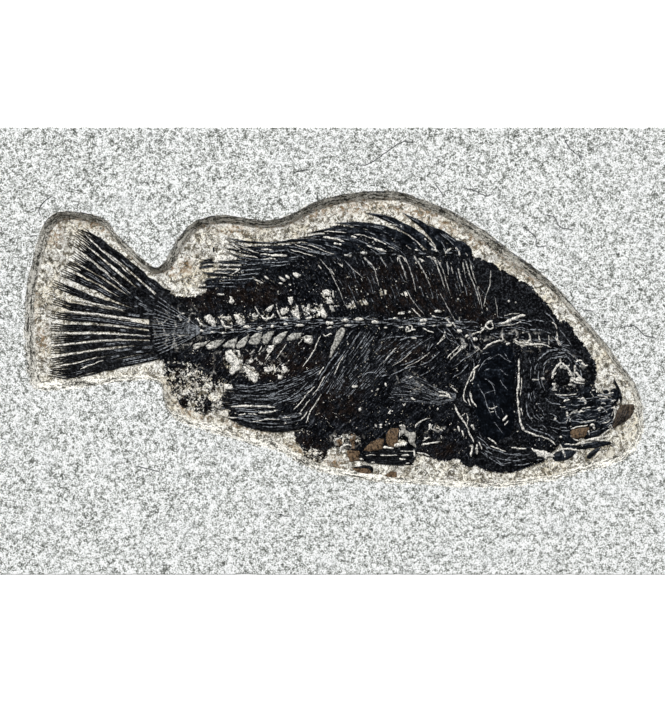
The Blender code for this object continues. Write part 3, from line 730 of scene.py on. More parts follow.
sheet(skin_mesh, skin_rim_verts, loose_points(skin_rim, SKIN_GRAIN, 0.5 * SKIN_GRAIN), skin_top)
close_below(skin_mesh, skin_rim_verts)
bmesh.ops.recalc_face_normals(skin_mesh, faces=skin_mesh.faces)


def crushed(tree, place, tone):
    """Crosses black bone with fine creases drawn in grey as painted highlight, and with cream cracks where it
    is crushed.
    """
    breaks = step_up(tree, grain(tree, place, 190, 2, 0.6), 0.46, 0.62)
    highlight_creases = combine(tree, "SUBTRACT", 1.0, curls(tree, place, 430, 0.024))
    tone = blend(tree, combine(tree, "MULTIPLY", highlight_creases, breaks), tone, (0.052, 0.058, 0.069))
    warp = put(tree, "TexNoise", {"Vector": place, "Scale": 260, "Detail": 2.0}).node.outputs["Color"]
    warped = vectors(tree, "ADD", place, vectors(tree, "MULTIPLY", warp, (0.0026, 0.0026, 0.0026)))
    bits = put(tree, "TexVoronoi", {"Vector": warped, "Scale": 210}, feature="DISTANCE_TO_EDGE")
    crack = combine(tree, "SUBTRACT", 1.0, step_up(tree, bits, 0.02, 0.13))
    fresh = step_up(tree, grain(tree, place, 330, 3, 0.7), 0.47, 0.57)
    crack = combine(tree, "MULTIPLY", combine(tree, "MULTIPLY", crack, fresh), attribute(tree, "crushed"))
    pale = tones(tree, grain(tree, place, 900, 2), (0.38, (0.20, 0.20, 0.19)), (0.60, (0.92, 0.89, 0.82)))
    return blend(tree, crack, tone, pale)


dark_film, tree, shader, place = new_look("dark_film", 0.36, 0.02)
ragged = combine(tree, "ADD", grain(tree, place, 560, 2, 0.6, 0.8), grain(tree, place, 1400, 2, 0.6))
ragged = spread(tree, ragged, -0.75, 0.75, start=0.6, end=1.4)
whole = step_up(tree, combine(tree, "ADD", attribute(tree, "cover"), ragged), 0.46, 0.54)
upper_fibre = grain(tree, stretched(tree, place, -62, 2.2, 1), 1400, 2, 0.6)
lower_fibre = grain(tree, stretched(tree, place, 48, 5, 1), 1500, 2, 0.6)
fibre = put(tree, "Mix", {0: attribute(tree, "below"), 2: upper_fibre, 3: lower_fibre})
# Painted sheen: the film's pale grey-blue and pale brown flecks along the fibres stand for its gloss.
glint = mixed(tree, fibre, 0.45, grain(tree, place, 1500, 3, 0.75), 0.55)
film_tone = tones(tree, glint,
                  (0.445, (0.0007, 0.0008, 0.0011)), (0.52, (0.0030, 0.0036, 0.0050)),
                  (0.57, (0.0130, 0.0150, 0.0200)), (0.625, (0.060, 0.066, 0.078)),
                  (0.69, (0.30, 0.315, 0.34)))
brown_tone = tones(tree, glint,
                   (0.44, (0.0026, 0.0019, 0.0018)), (0.545, (0.0115, 0.0080, 0.0068)),
                   (0.63, (0.040, 0.028, 0.023)), (0.70, (0.22, 0.18, 0.145)))
brown_grain = step_up(tree, grain(tree, place, 330, 3, 0.7), 0.38, 0.58)
brown_share = combine(tree, "MULTIPLY", attribute(tree, "brown"), brown_grain)
film_tone = crushed(tree, place, blend(tree, brown_share, film_tone, brown_tone))
tree.links.new(blend(tree, whole, bed_colour(tree, place), film_tone), shader.inputs["Base Color"])
tree.links.new(spread(tree, whole, 0.85, 0.36), shader.inputs["Roughness"])
raised(tree, shader, combine(tree, "ADD", combine(tree, "MULTIPLY", whole, 0.6), glint), 0.7, 0.00025)


def below_back(points):
    """1 below the backbone, 0 above it."""
    back = np.interp(points[:, 0], *at(*np.array(BACK_LINE).T))
    return np.clip(0.5 + (back - points[:, 1]) / 0.004, 0, 1)


skin = finish_mesh("skin_film", skin_mesh, dark_film, "dark_film", "body")
soften(skin)
mark(skin, "cover", skin_cover)
mark(skin, "below", below_back)
mark(skin, "crushed", crushed_share)
mark(skin, "brown", lambda points: np.clip(0.5 + depth_in(points, BROWN) / 0.003, 0, 1))

# THE BACKBONE
# Twenty short vertebrae in a row, each a waisted drum of black mineralised bone, with long spines that lean
# back above and below them. The spines and the ribs are pressed into the film.
VERTEBRA_STARTS = (
    200, 213, 226, 238, 250, 262, 275, 288, 301, 317, 333, 350, 363, 376, 389, 402, 415, 428, 441, 454, 467,
)
VERTEBRA_HALF_HEIGHT = 4.2
UPPER_SPINES = (
    ((190, 305), (205, 322), (215, 329)), ((205, 303), (218, 320), (226, 329)),
    ((222, 300), (233, 318), (240, 328)), ((240, 308), (248, 320), (252, 327)),
    ((254, 305), (262, 318), (266, 326)), ((273, 302), (277, 315), (280, 325)),
    ((285, 290), (290, 308), (294, 322)), ((297, 295), (302, 312), (307, 328)),
    ((320, 297), (327, 310), (333, 318)), ((334, 290), (343, 308), (350, 320)),
    ((350, 288), (356, 303), (364, 318)), ((364, 290), (371, 305), (378, 319)),
    ((376, 290), (384, 305), (392, 320)), ((390, 286), (400, 304), (411, 319)),
    ((404, 285), (417, 303), (430, 318)), ((418, 285), (432, 305), (445, 318)),
)
LOWER_SPINES = (
    ((219, 350), (226, 339)), ((225, 366), (232, 352), (237, 338)), ((237, 362), (243, 350), (249, 335)),
    ((250, 362), (257, 348), (262, 332)), ((255, 366), (265, 350), (275, 333)),
    ((262, 366), (277, 350), (288, 335)), ((275, 372), (292, 350), (300, 335)),
    ((302, 367), (310, 350), (318, 333)),
    ((296, 425), (300, 415), (310, 395), (320, 375), (330, 358), (343, 335)),
)
RIB_GUIDES = (
    ((318, 392), (332, 370), (348, 345), (356, 330)), ((330, 396), (345, 372), (362, 347), (372, 331)),
    ((338, 398), (355, 376), (376, 350), (392, 333)), ((352, 396), (368, 378), (390, 354), (412, 336)),
    ((366, 388), (384, 374), (408, 354), (436, 336)),
)
STRAND_SPACING = 0.0009
PLATE_TUCK = 0.0002
PLATE_SPACING = 0.0007
FINE_SPACING = 0.00045


def strand(points, root_width, tip_width, seed=0.0, wander=0.5, knots=0.16, taper=1.0):
    """A run of x, y and radius along a line from root to tip, with widths and wander in grid squares."""
    line = smooth([at(*p) for p in points], STRAND_SPACING)
    travel = np.linspace(0, 1, len(line))
    ends = np.minimum(1, 4 * np.minimum(travel + 0.08, 1.03 - travel))
    for axis in (0, 1):
        line[:, axis] += rough(line, 0.0042, seed + 5 * axis) * wander * GRID
    radius = 0.5 * GRID * (root_width + (tip_width - root_width) * travel**taper) * ends
    radius *= 1 + knots * rough(line, 0.0017, seed + 2) + 0.5 * knots * rough(line, 0.0042, seed + 3)
    return np.column_stack([line, np.maximum(radius, 0.00004)])


def bundle(points, count, root_spread, tip_spread, root_width, tip_width, seed=0.0, wander=0.5):
    """Strands side by side along a line, which spread from root to tip."""
    line = smooth([at(*p) for p in points], STRAND_SPACING)
    across = sideways(line)
    travel = np.linspace(0, 1, len(line))
    breadth = root_spread + (tip_spread - root_spread) * travel**1.6
    runs = []
    for k in range(count):
        side = (k + 0.5) / count - 0.5
        own = rough(line, 0.0036, seed + 7 * k) * wander
        path = line + across * ((side * breadth + own) * GRID)[:, None]
        radius = 0.5 * GRID * (root_width + (tip_width - root_width) * travel)
        radius *= 1 + 0.22 * rough(line, 0.0013, seed + 7 * k + 3)
        radius *= np.minimum(1, 4 * np.minimum(travel + 0.1, 1.04 - travel))
        runs.append(np.column_stack([path, np.maximum(radius, 0.00004)]))
    return runs


def fan(guides, count, width, seed=0.0, wander=0.7, gaps=0.0):
    """Fine strands that fill the space between guide lines, broken where the noise says so."""
    length = max(len(smooth([at(*p) for p in guide], STRAND_SPACING)) for guide in guides)
    lines = []
    for guide in guides:
        line = smooth([at(*p) for p in guide], STRAND_SPACING)
        stops = np.linspace(0, len(line) - 1, length)
        lines.append(np.stack([np.interp(stops, np.arange(len(line)), line[:, k]) for k in (0, 1)], axis=1))
    lines = np.array(lines)
    runs = []
    for k in range(count):
        place = (k + 0.5) / count * (len(guides) - 1)
        low = min(int(place), len(guides) - 2)
        line = lines[low] * (1 - place + low) + lines[low + 1] * (place - low)
        sway = [rough(line, 0.005, seed + 3 * k + axis) for axis in (0, 1)]
        line = line + np.stack(sway, axis=1) * wander * GRID
        vigour = rough(line, 0.006, seed + 3 * k + 2) + 1
        radius = 0.5 * GRID * width * (0.75 + 0.4 * (vigour - 1))
        runs += kept_stretches(np.column_stack([line, np.maximum(radius, 0.00005)]), vigour > 2 * gaps)
    return runs


def kept_stretches(run, keep):
    """The stretches of a run that are kept, each at least three points long and pointed at its ends."""
    stretches = []
    start = None
    for i, kept in enumerate(list(keep) + [False]):
        if kept and start is None:
            start = i
        if not kept and start is not None:
            if i - start >= 3:
                piece = run[start:i].copy()
                piece[[0, -1], 2] *= 0.35
                stretches.append(piece)
            start = None
    return stretches


def lay(name, runs, look, slot, *nodes, lift=0.0, flatness=0.8, sides=1):
    """Lays tapered runs on the ground as one mesh of knobbly bars."""
    curve = bpy.data.curves.new(name, "CURVE")
    curve.dimensions = "3D"
    curve.bevel_depth = 1
    curve.bevel_resolution = sides
    curve.use_fill_caps = True
    for run in runs:
        spline = curve.splines.new("POLY")
        spline.points.add(len(run) - 1)
        flat_run = np.column_stack([run[:, :2], np.zeros(len(run)), np.ones(len(run))])
        spline.points.foreach_set("co", flat_run.ravel())
        spline.points.foreach_set("radius", run[:, 2])
    bars = bpy.data.objects.new(name, curve)
    bpy.context.scene.collection.objects.link(bars)
    bpy.ops.object.select_all(action="DESELECT")
    bars.select_set(True)
    bpy.context.view_layer.objects.active = bars
    bpy.ops.object.convert(target="MESH")
    bars = bpy.context.object
    places = np.empty(len(bars.data.vertices) * 3)
    bars.data.vertices.foreach_get("co", places)
    places = places.reshape(-1, 3)
    places[:, 2] = ground(places[:, :2]) + lift + places[:, 2] * flatness
    bars.data.vertices.foreach_set("co", places.ravel())
    bars.data.materials.clear()
    bars.data.materials.append(look)
    soften(bars)
    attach(bars, "root")
    if nodes:
        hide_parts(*nodes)


def bone_look(name, dark, pale, middle, roughness):
    """Black mineralised bone, with a soft gloss and a grey mottle that is partly painted sheen."""
    look, tree, shader, place = new_look(name, roughness, 0.04)
    pores_and_sheen = grain(tree, place, 1000, 3, 0.7)
    tone = tones(tree, pores_and_sheen, (middle - 0.06, dark), (middle + 0.16, pale))
    tree.links.new(crushed(tree, place, tone), shader.inputs["Base Color"])
    raised(tree, shader, grain(tree, place, 900, 4, 0.65), 0.9, 0.0004)
    return look


# The black bone's pale bluish mottle is partly painted sheen.
black_bone = bone_look("black_bone", (0.0010, 0.0012, 0.0018), (0.085, 0.092, 0.105), 0.58, 0.30)
# The grey bone draws thin pale lines on the black bone; its pale blue-grey is partly the bone's own grey and
# partly painted highlight.
grey_bone = bone_look("grey_bone", (0.016, 0.018, 0.022), (0.43, 0.46, 0.50), 0.47, 0.45)


def smooth_look(name, *stops):
    """Smooth black bone with a faint cloudy bluish sheen painted into its colour."""
    look, tree, shader, place = new_look(name, 0.33, 0.05)
    cloudy_sheen = mixed(tree, grain(tree, place, 260, 2, 0.6, 0.8), 0.5, grain(tree, place, 1100, 2, 0.6), 0.5)
    tree.links.new(tones(tree, cloudy_sheen, *stops), shader.inputs["Base Color"])
    raised(tree, shader, grain(tree, place, 500, 3, 0.6), 0.5, 0.0003)
    return look


# Painted sheen: the smooth bone's pale blue-grey clouds.
smooth_bone = smooth_look("smooth_bone", (0.44, (0.0010, 0.0016, 0.0026)), (0.55, (0.0115, 0.0145, 0.0200)),
                          (0.65, (0.080, 0.091, 0.108)))


def cornered(outline):
    """An outline whose corners stay sharp when it is smoothed."""
    corners = np.array(outline, float)
    before, after = np.roll(corners, 1, 0), np.roll(corners, -1, 0)
    sides = [0.92 * corners + 0.08 * before, corners, 0.92 * corners + 0.08 * after]
    return np.stack(sides, axis=1).reshape(-1, 2)


def bone_plate(mesh, outline, height, edge, lift, seed, spacing):
    """A thin bone with a rounded edge and an uneven face, closed below."""
    rim = smooth([at(*p) for p in outline], spacing, closed=True)
    raggedness = rough(rim, 0.0026, seed) * 0.42 + rough(rim, 0.0011, seed + 1) * 0.21
    rim += inward(rim) * (raggedness * spacing)[:, None]
    rim_verts = [mesh.verts.new((*p, z)) for p, z in zip(rim, ground(rim) - PLATE_TUCK)]

    def top(points):
        share = np.clip(distance_to(points, rim) / edge, 0, 1)
        swell = height * np.sqrt(1 - (1 - share) ** 2)
        unevenness = 1 + 0.25 * rough(points, 0.003, seed) + 0.12 * rough(points, 0.0012, seed)
        return ground(points) + lift + swell * unevenness

    sheet(mesh, rim_verts, loose_points(rim, 1.15 * spacing, 0.5 * spacing), top)
    close_below(mesh, rim_verts)


def plates(name, outlines, look, slot, *nodes, spacing=PLATE_SPACING):
    """Several bone plates as one piece: each an outline, a height, an edge width and a lift."""
    mesh = bmesh.new()
    for number, (outline, height, edge, lift) in enumerate(outlines):
        bone_plate(mesh, outline, height, edge, lift, 3.7 * number + len(name), spacing)
    bmesh.ops.recalc_face_normals(mesh, faces=mesh.faces)
    piece = finish_mesh(name, mesh, look, slot, *nodes)
    soften(piece)
    mark(piece, "crushed", crushed_share)
    return piece


def back_at(u):
    """How far down the grid the backbone runs at u."""
    return float(np.interp(u, *np.array(BACK_LINE).T))


vertebrae = []
for left, right in zip(VERTEBRA_STARTS, VERTEBRA_STARTS[1:]):
    middle = (left + right) / 2
    v, w = back_at(middle), VERTEBRA_HALF_HEIGHT
    drum = (
        (left + 1, v - w), (left + 3, v - w + 0.6), (middle, v - 0.55 * w), (right - 2.5, v - w + 0.6),
        (right - 0.8, v - w), (right - 0.5, v), (right - 0.8, v + w), (right - 2.5, v + w - 0.6),
        (middle, v + 0.55 * w), (left + 3, v + w - 0.6), (left + 1, v + w), (left + 0.6, v),
    )
    vertebrae.append((drum, 0.0006, 0.0012, 0.0))
plates("vertebrae", vertebrae, black_bone, "black_bone", "backbone")
spines = []
for number, points in enumerate(UPPER_SPINES):
    spines += bundle(points, 2, 2.0, 2.6, 1.7, 2.0, seed=11 * number)
for number, points in enumerate(LOWER_SPINES[:-1]):
    spines.append(strand(points, 1.3, 2.0, seed=11 * number, wander=0.3))
for number, points in enumerate(UPPER_SPINES):
    spines.append(strand(points, 1.6, 3.0, seed=number))
spines += bundle(LOWER_SPINES[-1], 3, 4.5, 4.5, 2.6, 3.0, seed=400)
lay("spines_of_backbone", spines, black_bone, "black_bone", "backbone", lift=0.00012)
ribs = fan(RIB_GUIDES, 26, 1.7, seed=40, gaps=0.12)
lay("ribs", ribs, black_bone, "black_bone", "backbone", lift=0.0001)
# Thin pale lines in the grey bone on the ribs, partly painted highlight.
rib_edges = fan(RIB_GUIDES, 48, 0.8, seed=140, gaps=0.54)
lay("rib_edges", rib_edges, grey_bone, "black_bone", "backbone", lift=0.00022)
BACK_STOPS = (202, 240, 280, 320, 360, 400, 440, 478)
row_guides = [[(u, back_at(u) + side) for u in BACK_STOPS] for side in (-5, 0, 5)]
# Thin pale lines in the grey bone along the vertebrae, partly painted highlight.
row_lines = fan(row_guides, 11, 0.9, seed=1340, wander=3.0, gaps=0.5)
lay("vertebra_edges", row_lines, grey_bone, "black_bone", "backbone", lift=0.0008)

LEAVES = (
    ((192.1, 344.4), (199, 342.2), (207, 341), (204.2, 345), (199, 348.4), (193.2, 349)),
    ((200.3, 345.8), (204.9, 341.3), (212.4, 339), (207.2, 343.5), (202.6, 346.9)),
    ((204.7, 345.6), (211.6, 340.5), (225.9, 338.6), (221.9, 343.9), (217.3, 347.9), (208.1, 350.2)),
    ((221.9, 345.1), (227.7, 340.6), (238, 336.4), (236.9, 342.3), (234, 349.6), (229.4, 347.9),
     (223.1, 347.9)),
    ((235.1, 346.5), (237.9, 341.4), (243.1, 337.5), (249.8, 332.9), (248.3, 340.3), (244.3, 347.1),
     (237.4, 349.1)),
    ((247.4, 343), (250.3, 336.8), (256.1, 332.3), (263, 330.8), (261.8, 337.9), (258.9, 344.7),
     (251.5, 345.3)),
    ((261.8, 342.5), (262.6, 335.7), (268.1, 331.2), (275.2, 330.3), (271.6, 338), (267.5, 344.7),
     (263.5, 345.3)),
    ((271.5, 343.6), (273.2, 337.9), (280.1, 332.6), (288.4, 330.7), (285.9, 336.2), (280.7, 343),
     (275.5, 345.3)),
    ((285.4, 341.3), (287.2, 335.9), (291.8, 332.8), (303, 332.2), (301, 337), (297.5, 339.6),
     (289.5, 341.3)),
    ((302.2, 336.7), (305.6, 335.1), (313.1, 335.1), (313.7, 340.1), (311.4, 345.3), (304.5, 342.9)),
)
LAST_LEAF = (
    (336, 332), (341, 327), (346, 328), (344.5, 336), (340, 343.5), (335.5, 350), (332, 358), (328.5, 359),
    (330.5, 349), (333.5, 341),
)
leaf_look = bone_look("grey_leaf", (0.11, 0.108, 0.098), (0.66, 0.65, 0.60), 0.46, 0.6)
leaf_plates = [(cornered(outline), 0.0003, 0.00025, 0.0004) for outline in LEAVES + (LAST_LEAF,)]
plates("leaves_between_spines", leaf_plates, leaf_look, "limestone", spacing=0.0004)

# THE TAIL FIN
# Sixteen stout rays of black bone that spread from a fan of fine plates at the backbone's end. Each ray is
# jointed, and frays into fine branches at its tip.
TAIL_RAYS = (
    ((162, 294), (140, 275), (120, 258), (100, 243), (81, 230)),
    ((160, 304), (140, 286), (120, 268), (105, 256), (90, 243), (75, 232)),
    ((158, 308), (140, 294), (120, 279), (100, 262), (85, 250), (72, 240)),
    ((157, 310), (140, 300), (120, 286), (100, 272), (85, 263), (71, 254)),
    ((156, 311), (140, 304), (120, 294), (100, 281), (80, 270), (66, 263)),
    ((156, 313), (135, 306), (115, 298), (95, 287), (75, 278), (60, 272)),
    ((155, 315), (130, 310), (110, 304), (90, 298), (70, 290), (52, 283)),
    ((156, 318), (130, 315), (110, 312), (90, 309), (70, 306), (52, 300)),
    ((165, 328), (150, 327), (130, 324), (110, 321), (90, 319), (70, 317), (50, 314)),
    ((155, 334), (130, 331), (110, 329), (90, 328), (70, 328), (50, 327)),
    ((156, 338), (130, 336.5), (110, 337), (90, 337), (70, 339), (50, 340)),
    ((156, 343), (130, 343), (110, 344), (90, 346), (70, 349), (50, 350)),
    ((156, 347), (130, 349), (110, 352), (90, 355), (70, 359), (50, 362)),
    ((157, 350), (130, 353), (110, 358), (90, 363), (70, 368), (50, 370)),
    ((158, 354), (130, 359), (105, 365), (85, 371), (65, 375), (48, 372)),
    ((160, 357), (140, 361), (115, 366), (95, 370), (75, 375)),
)
TAIL_EDGE = (
    (170, 291), (162, 289), (153, 282), (147, 279), (140, 272), (130, 264), (120, 256), (110, 249),
    (100, 240), (90, 234), (78, 229),
)
ray_stems = [strand(TAIL_EDGE, 6.0, 3.4, seed=3)]
ray_stems.append(strand(((161, 293), (140, 274.5), (120, 258.5), (104, 246), (91, 236.5)), 3.6, 1.8, seed=5))
for number, ray in enumerate(TAIL_RAYS):
    root_spread = (6.6, 6.0, 4.6)[number] if number < 3 else 3.4
    ray_stems += bundle(ray[:-1], 3, root_spread, 5.4, 2.6, 2.1, seed=20 + 9 * number, wander=0.4)
    ray_stems += bundle(ray, 4, 3.0, 9.0, 1.8, 1.9, seed=320 + 9 * number, wander=0.8)
lay("tail_rays", ray_stems, black_bone, "black_bone", "tail_fin", lift=0.00022)
TAIL_ROOT = (
    (150, 300), (162, 289), (178, 297), (190, 310), (201, 326), (201, 334), (188, 350), (172, 361),
    (156, 357), (149, 345), (148, 322),
)
plates("tail_root", [(TAIL_ROOT, 0.0005, 0.003, 0.0)], black_bone, "black_bone", "tail_fin")
ROOT_GUIDES = (
    ((160, 295), (180, 312), (200, 328)), ((152, 312), (175, 320), (200, 329)),
    ((152, 328), (175, 329), (200, 331)), ((152, 342), (175, 337), (200, 332)),
    ((160, 356), (180, 345), (200, 333)),
)
# Thin pale lines in the grey bone over the tail's root and along its rays, partly painted highlight.
root_lines = fan(ROOT_GUIDES, 17, 1.0, seed=70, gaps=0.25)
for number, ray in enumerate(TAIL_RAYS):
    for run in bundle(ray[:-1], 2, 2.2, 3.6, 0.8, 0.8, seed=620 + 9 * number, wander=0.8):
        root_lines += kept_stretches(run, rough(run, 0.006, 8.3 * number) > 0.16)
lay("tail_root_lines", root_lines, grey_bone, "black_bone", "tail_fin", lift=0.00085)

# THE DORSAL FIN
# Strong curved spines in front, thick at the root and pointed, with a knobbly row of bones at their feet,
# and thinner soft rays behind, all of black bone. Thin rods carry the spines down into the back.
DORSAL_SPINES = (
    (6, 2.4, ((472, 254), (468, 248), (462, 243), (457, 241))),
    (8.5, 3.2, ((469, 257), (461, 248.5), (450, 239), (441, 232.5), (429, 225.5))),
    (9.0, 1.6, ((446.5, 254), (440, 243.5), (430.6, 232), (421, 224), (412, 218), (402.5, 212.5))),
    (10.0, 1.8, ((438, 254), (427.5, 243.8), (416.4, 234.4), (402, 225.4), (390, 219.5), (380, 215.7),
     (364, 212.3))),
    (11.0, 2.2, ((426, 256), (418, 249), (405.4, 239.8), (389.6, 231.8), (373.8, 227), (358, 224.2),
     (347, 223.2), (334, 222.8))),
    (8.0, 1.8, ((406, 256), (397.5, 249), (381.7, 239.8), (366, 233.2), (350, 230.2), (335, 229.7),
     (320, 231), (305, 233.5))),
    (6.5, 1.8, ((383, 256), (370.6, 247.6), (358, 241.3), (342, 237.3), (323, 235.6), (300, 237))),
    (4.2, 1.4, ((370, 255), (358, 249.5), (345, 244), (330, 240.8), (312, 239.4))),
    (5.0, 1.4, ((351, 253.5), (334, 246.4), (318.5, 242), (303, 239.8), (285, 239.6))),
    (3.8, 1.6, ((345, 256), (322, 249), (305, 245), (288, 243.2))),
    (3.6, 1.6, ((345, 258.5), (325, 253), (308, 249.5), (292, 247.6))),
)
SOFT_RAYS = (
    ((325, 238), (300, 240), (283, 241.7), (265, 242.6), (247, 241.6), (235, 239.6), (224, 237.2)),
    ((315, 243), (290, 246), (270, 247.5), (252, 247.3), (240, 244.6), (226, 239.6)),
    ((310, 247), (290, 249.5), (270, 251.3), (252, 250.8), (238, 247.6), (226, 242.6)),
    ((305, 256), (280, 257.8), (262, 256), (246, 253), (234, 249.7), (221, 246.8)),
    ((300, 259), (285, 259.5), (270, 260), (250, 259), (238, 256.6), (225, 250.2)),
    ((290, 263), (270, 263), (250, 262), (234, 259.8), (220, 261.5)),
    ((275, 264.5), (255, 264.2), (235, 262.5), (213, 262.5)),
    ((275, 268), (258, 267.2), (240, 267), (214, 266.8)), ((265, 271), (245, 270), (232, 271), (213, 271)),
    ((262, 273), (240, 277), (225, 275.4), (205, 275)), ((258, 281), (240, 280), (222, 279), (203, 279)),
    ((248, 283), (228, 283), (212, 283), (199, 283)), ((236, 287), (218, 286), (204, 287), (196, 288)),
    ((244, 274), (225, 272.5), (210, 273), (201, 272)), ((214, 262), (206, 262.4), (199, 264)),
    ((213, 265.5), (205, 266.5), (198, 268)), ((212, 259.5), (207, 259.5), (203, 261)),
)
FIN_SCRAPS = (((211, 247), (213.5, 246), (215, 248.5), (214, 252), (211.5, 252.5), (212.5, 249.5)),)
ROD_GUIDES = (
    ((322, 258), (334, 275), (350, 305)), ((345, 258), (356, 274), (370, 303)),
    ((364, 257), (376, 274), (386, 300)), ((384, 256), (394, 272), (404, 298)),
    ((402, 256), (412, 272), (422, 298)), ((420, 256), (430, 272), (440, 300)),
    ((440, 256), (448, 274), (456, 302)), ((456, 256), (464, 274), (474, 306)),
    ((468, 256), (482, 276), (500, 300)),
)
FIN_FOOT = ((342, 256), (360, 254), (380, 253.5), (400, 254), (420, 253), (440, 253), (458, 252), (472, 255))
dorsal = []
for number, (root_width, tip_width, points) in enumerate(DORSAL_SPINES):
    dorsal.append(strand(points, root_width, tip_width, seed=50 + number, wander=0.7, knots=0.08, taper=1.9))
for number, points in enumerate(SOFT_RAYS):
    dorsal += bundle(points, 2, 1.6, 2.2, 1.5, 1.0, seed=500 + 9 * number, wander=0.6)
lay("dorsal_spines", dorsal, smooth_bone, "black_bone", "dorsal_fin", lift=0.0003, flatness=0.45, sides=2)
rods = fan(ROD_GUIDES, 30, 2.0, seed=240, gaps=0.05)
rods += bundle(FIN_FOOT, 3, 5.0, 6.0, 2.6, 2.6, seed=90, wander=1.6)
lay("dorsal_rods", rods, black_bone, "black_bone", "dorsal_fin", lift=0.00015)
# Thin pale lines in the grey bone along the rods, spines, fin foot and soft rays, partly painted highlight.
rod_edges = fan(ROD_GUIDES, 30, 0.7, seed=1240, wander=1.6, gaps=0.55)
for number, (root_width, tip_width, points) in enumerate(DORSAL_SPINES[1:9]):
    blades = [strand(points, 1.0, 0.8, seed=50 + number, wander=0.7)]
    blades += bundle(points, 2, 0.9 * root_width, tip_width, 1.0, 0.7, seed=2500 + 9 * number, wander=0.6)
    for side, blade in enumerate(blades):
        rod_edges += kept_stretches(blade, rough(blade, 0.008, 9.1 * number + 3 * side) > 0.18)
for number, run in enumerate(bundle(FIN_FOOT, 3, 5.0, 6.0, 1.5, 1.5, seed=95, wander=1.6)):
    rod_edges += kept_stretches(run, rough(run, 0.0024, 6.1 * number) > 0.12)
for number, points in enumerate(SOFT_RAYS):
    run = strand(points, 0.9, 0.7, seed=1500 + number, wander=1.2)
    rod_edges += kept_stretches(run, rough(run, 0.005, 4.7 * number) > 0.1)
lay("dorsal_glints", rod_edges, grey_bone, "black_bone", "dorsal_fin", lift=0.00105)
scraps = [(outline, 0.0003, 0.0005, 0.0) for outline in FIN_SCRAPS]
plates("fin_scraps", scraps, black_bone, "black_bone", "dorsal_fin")

# THE ANAL FIN
# Three strong spines close together along its lower edge, and fine soft rays above them, of black bone.
ANAL_SPINES = (
    (6.0, 2.4, ((308, 426), (290, 429), (275, 430), (262, 429), (245, 425), (233, 420), (224, 416.5))),
    (5.0, 2.0, ((303, 420), (285, 424), (265, 424), (250, 422), (236, 418))),
    (4.4, 1.8, ((302, 413), (280, 415), (260, 414), (240, 416))),
)
ANAL_GUIDES = (
    ((324, 362), (304, 372), (280, 381), (254, 385), (232, 383)),
    ((320, 372), (300, 384), (276, 392), (250, 395), (224, 392)),
    ((314, 384), (296, 394), (273, 400), (248, 402), (221, 400)),
    ((309, 395), (291, 404), (269, 408), (246, 410), (221, 409)),
)
ANAL_ENDS = (
    (248, 374), (246, 377.5), (247, 381), (240, 386), (238, 390), (238, 395), (242, 399), (244, 405),
    (238, 410),
)
anal = []
for number, (root_width, tip_width, points) in enumerate(ANAL_SPINES):
    anal.append(strand(points, root_width, tip_width, seed=80 + number, knots=0.12))
anal += fan(ANAL_GUIDES, 15, 1.9, seed=180, wander=1.4, gaps=0.16)
for number, (u, v) in enumerate(ANAL_ENDS):
    frayed_end = ((u, v), (u - 8, v - 0.5), (u - 15 + 2 * (number % 3), v - 2))
    anal.append(strand(frayed_end, 2.4, 0.8, seed=190 + number))
lay("anal_rays", anal, black_bone, "black_bone", "anal_fin", lift=0.00022)
# Thin pale lines in the grey bone over the anal fin, partly painted highlight.
anal_edges = fan(ANAL_GUIDES, 20, 0.75, seed=1180, wander=1.4, gaps=0.52)
anal_edges += fan([row[-1] for row in ANAL_SPINES[:0:-1]], 6, 0.9, seed=1190, gaps=0.45)
lay("anal_glints", anal_edges, grey_bone, "black_bone", "anal_fin", lift=0.0008)

# THE PELVIC FIN
# A sheaf of rays of black bone, folded flat along the belly, with the end of the grey pelvic bone above
# their roots.
PELVIC_GUIDES = (
    ((414, 451), (395, 450), (372, 453), (352, 456)), ((414, 456), (395, 456), (372, 457), (352, 458)),
    ((413, 461), (395, 461), (375, 461), (360, 461)), ((411, 466), (395, 466), (382, 464), (372, 462)),
)
PELVIC_BONE = (
    (398.6, 425.6), (401.6, 424.6), (405, 426), (407, 430), (411, 431), (414.4, 430.6), (417, 434),
    (416.2, 440), (417.2, 450), (412.6, 446.4), (408.2, 442.6), (407, 438.4), (403.6, 434.4), (401.6, 437),
    (399.4, 436), (400, 430.6),
)
pelvic = bundle(((414, 457.5), (395, 457), (378, 457), (366, 458)), 8, 16, 12, 2.3, 1.7, seed=610, wander=1.1)
pelvic += fan(PELVIC_GUIDES, 9, 1.2, seed=630, wander=1.4, gaps=0.4)
lay("pelvic_rays", pelvic, black_bone, "black_bone", "pelvic_fin", lift=0.00025)
pelvic_look = bone_look("pelvic_bone", (0.15, 0.145, 0.13), (0.58, 0.565, 0.52), 0.45, 0.6)
plates("pelvic_bone_end", [(PELVIC_BONE, 0.0008, 0.001, 0.0)], pelvic_look, "grey_bone", "pelvic_bone")

# THE PECTORAL FIN
# A fan of fine soft rays spread over the flank behind the gill cover, pressed into the film.
PECTORAL_GUIDES = (
    ((456, 394), (440, 388), (425, 380), (408, 372)), ((456, 396), (440, 394), (420, 386), (400, 380)),
    ((456, 398), (438, 400), (418, 393), (392, 390)), ((456, 400), (436, 405), (412, 402), (386, 402)),
)
pectoral = fan(PECTORAL_GUIDES, 17, 1.5, seed=700, gaps=0.1)
lay("pectoral_rays", pectoral, black_bone, "black_bone", "pectoral_fin", lift=0.00018)
# Thin pale lines in the grey bone on the pectoral fin, partly painted highlight.
pectoral_edges = fan(PECTORAL_GUIDES, 20, 0.8, seed=760, gaps=0.42)
lay("pectoral_edges", pectoral_edges, grey_bone, "black_bone", "pectoral_fin", lift=0.00028)

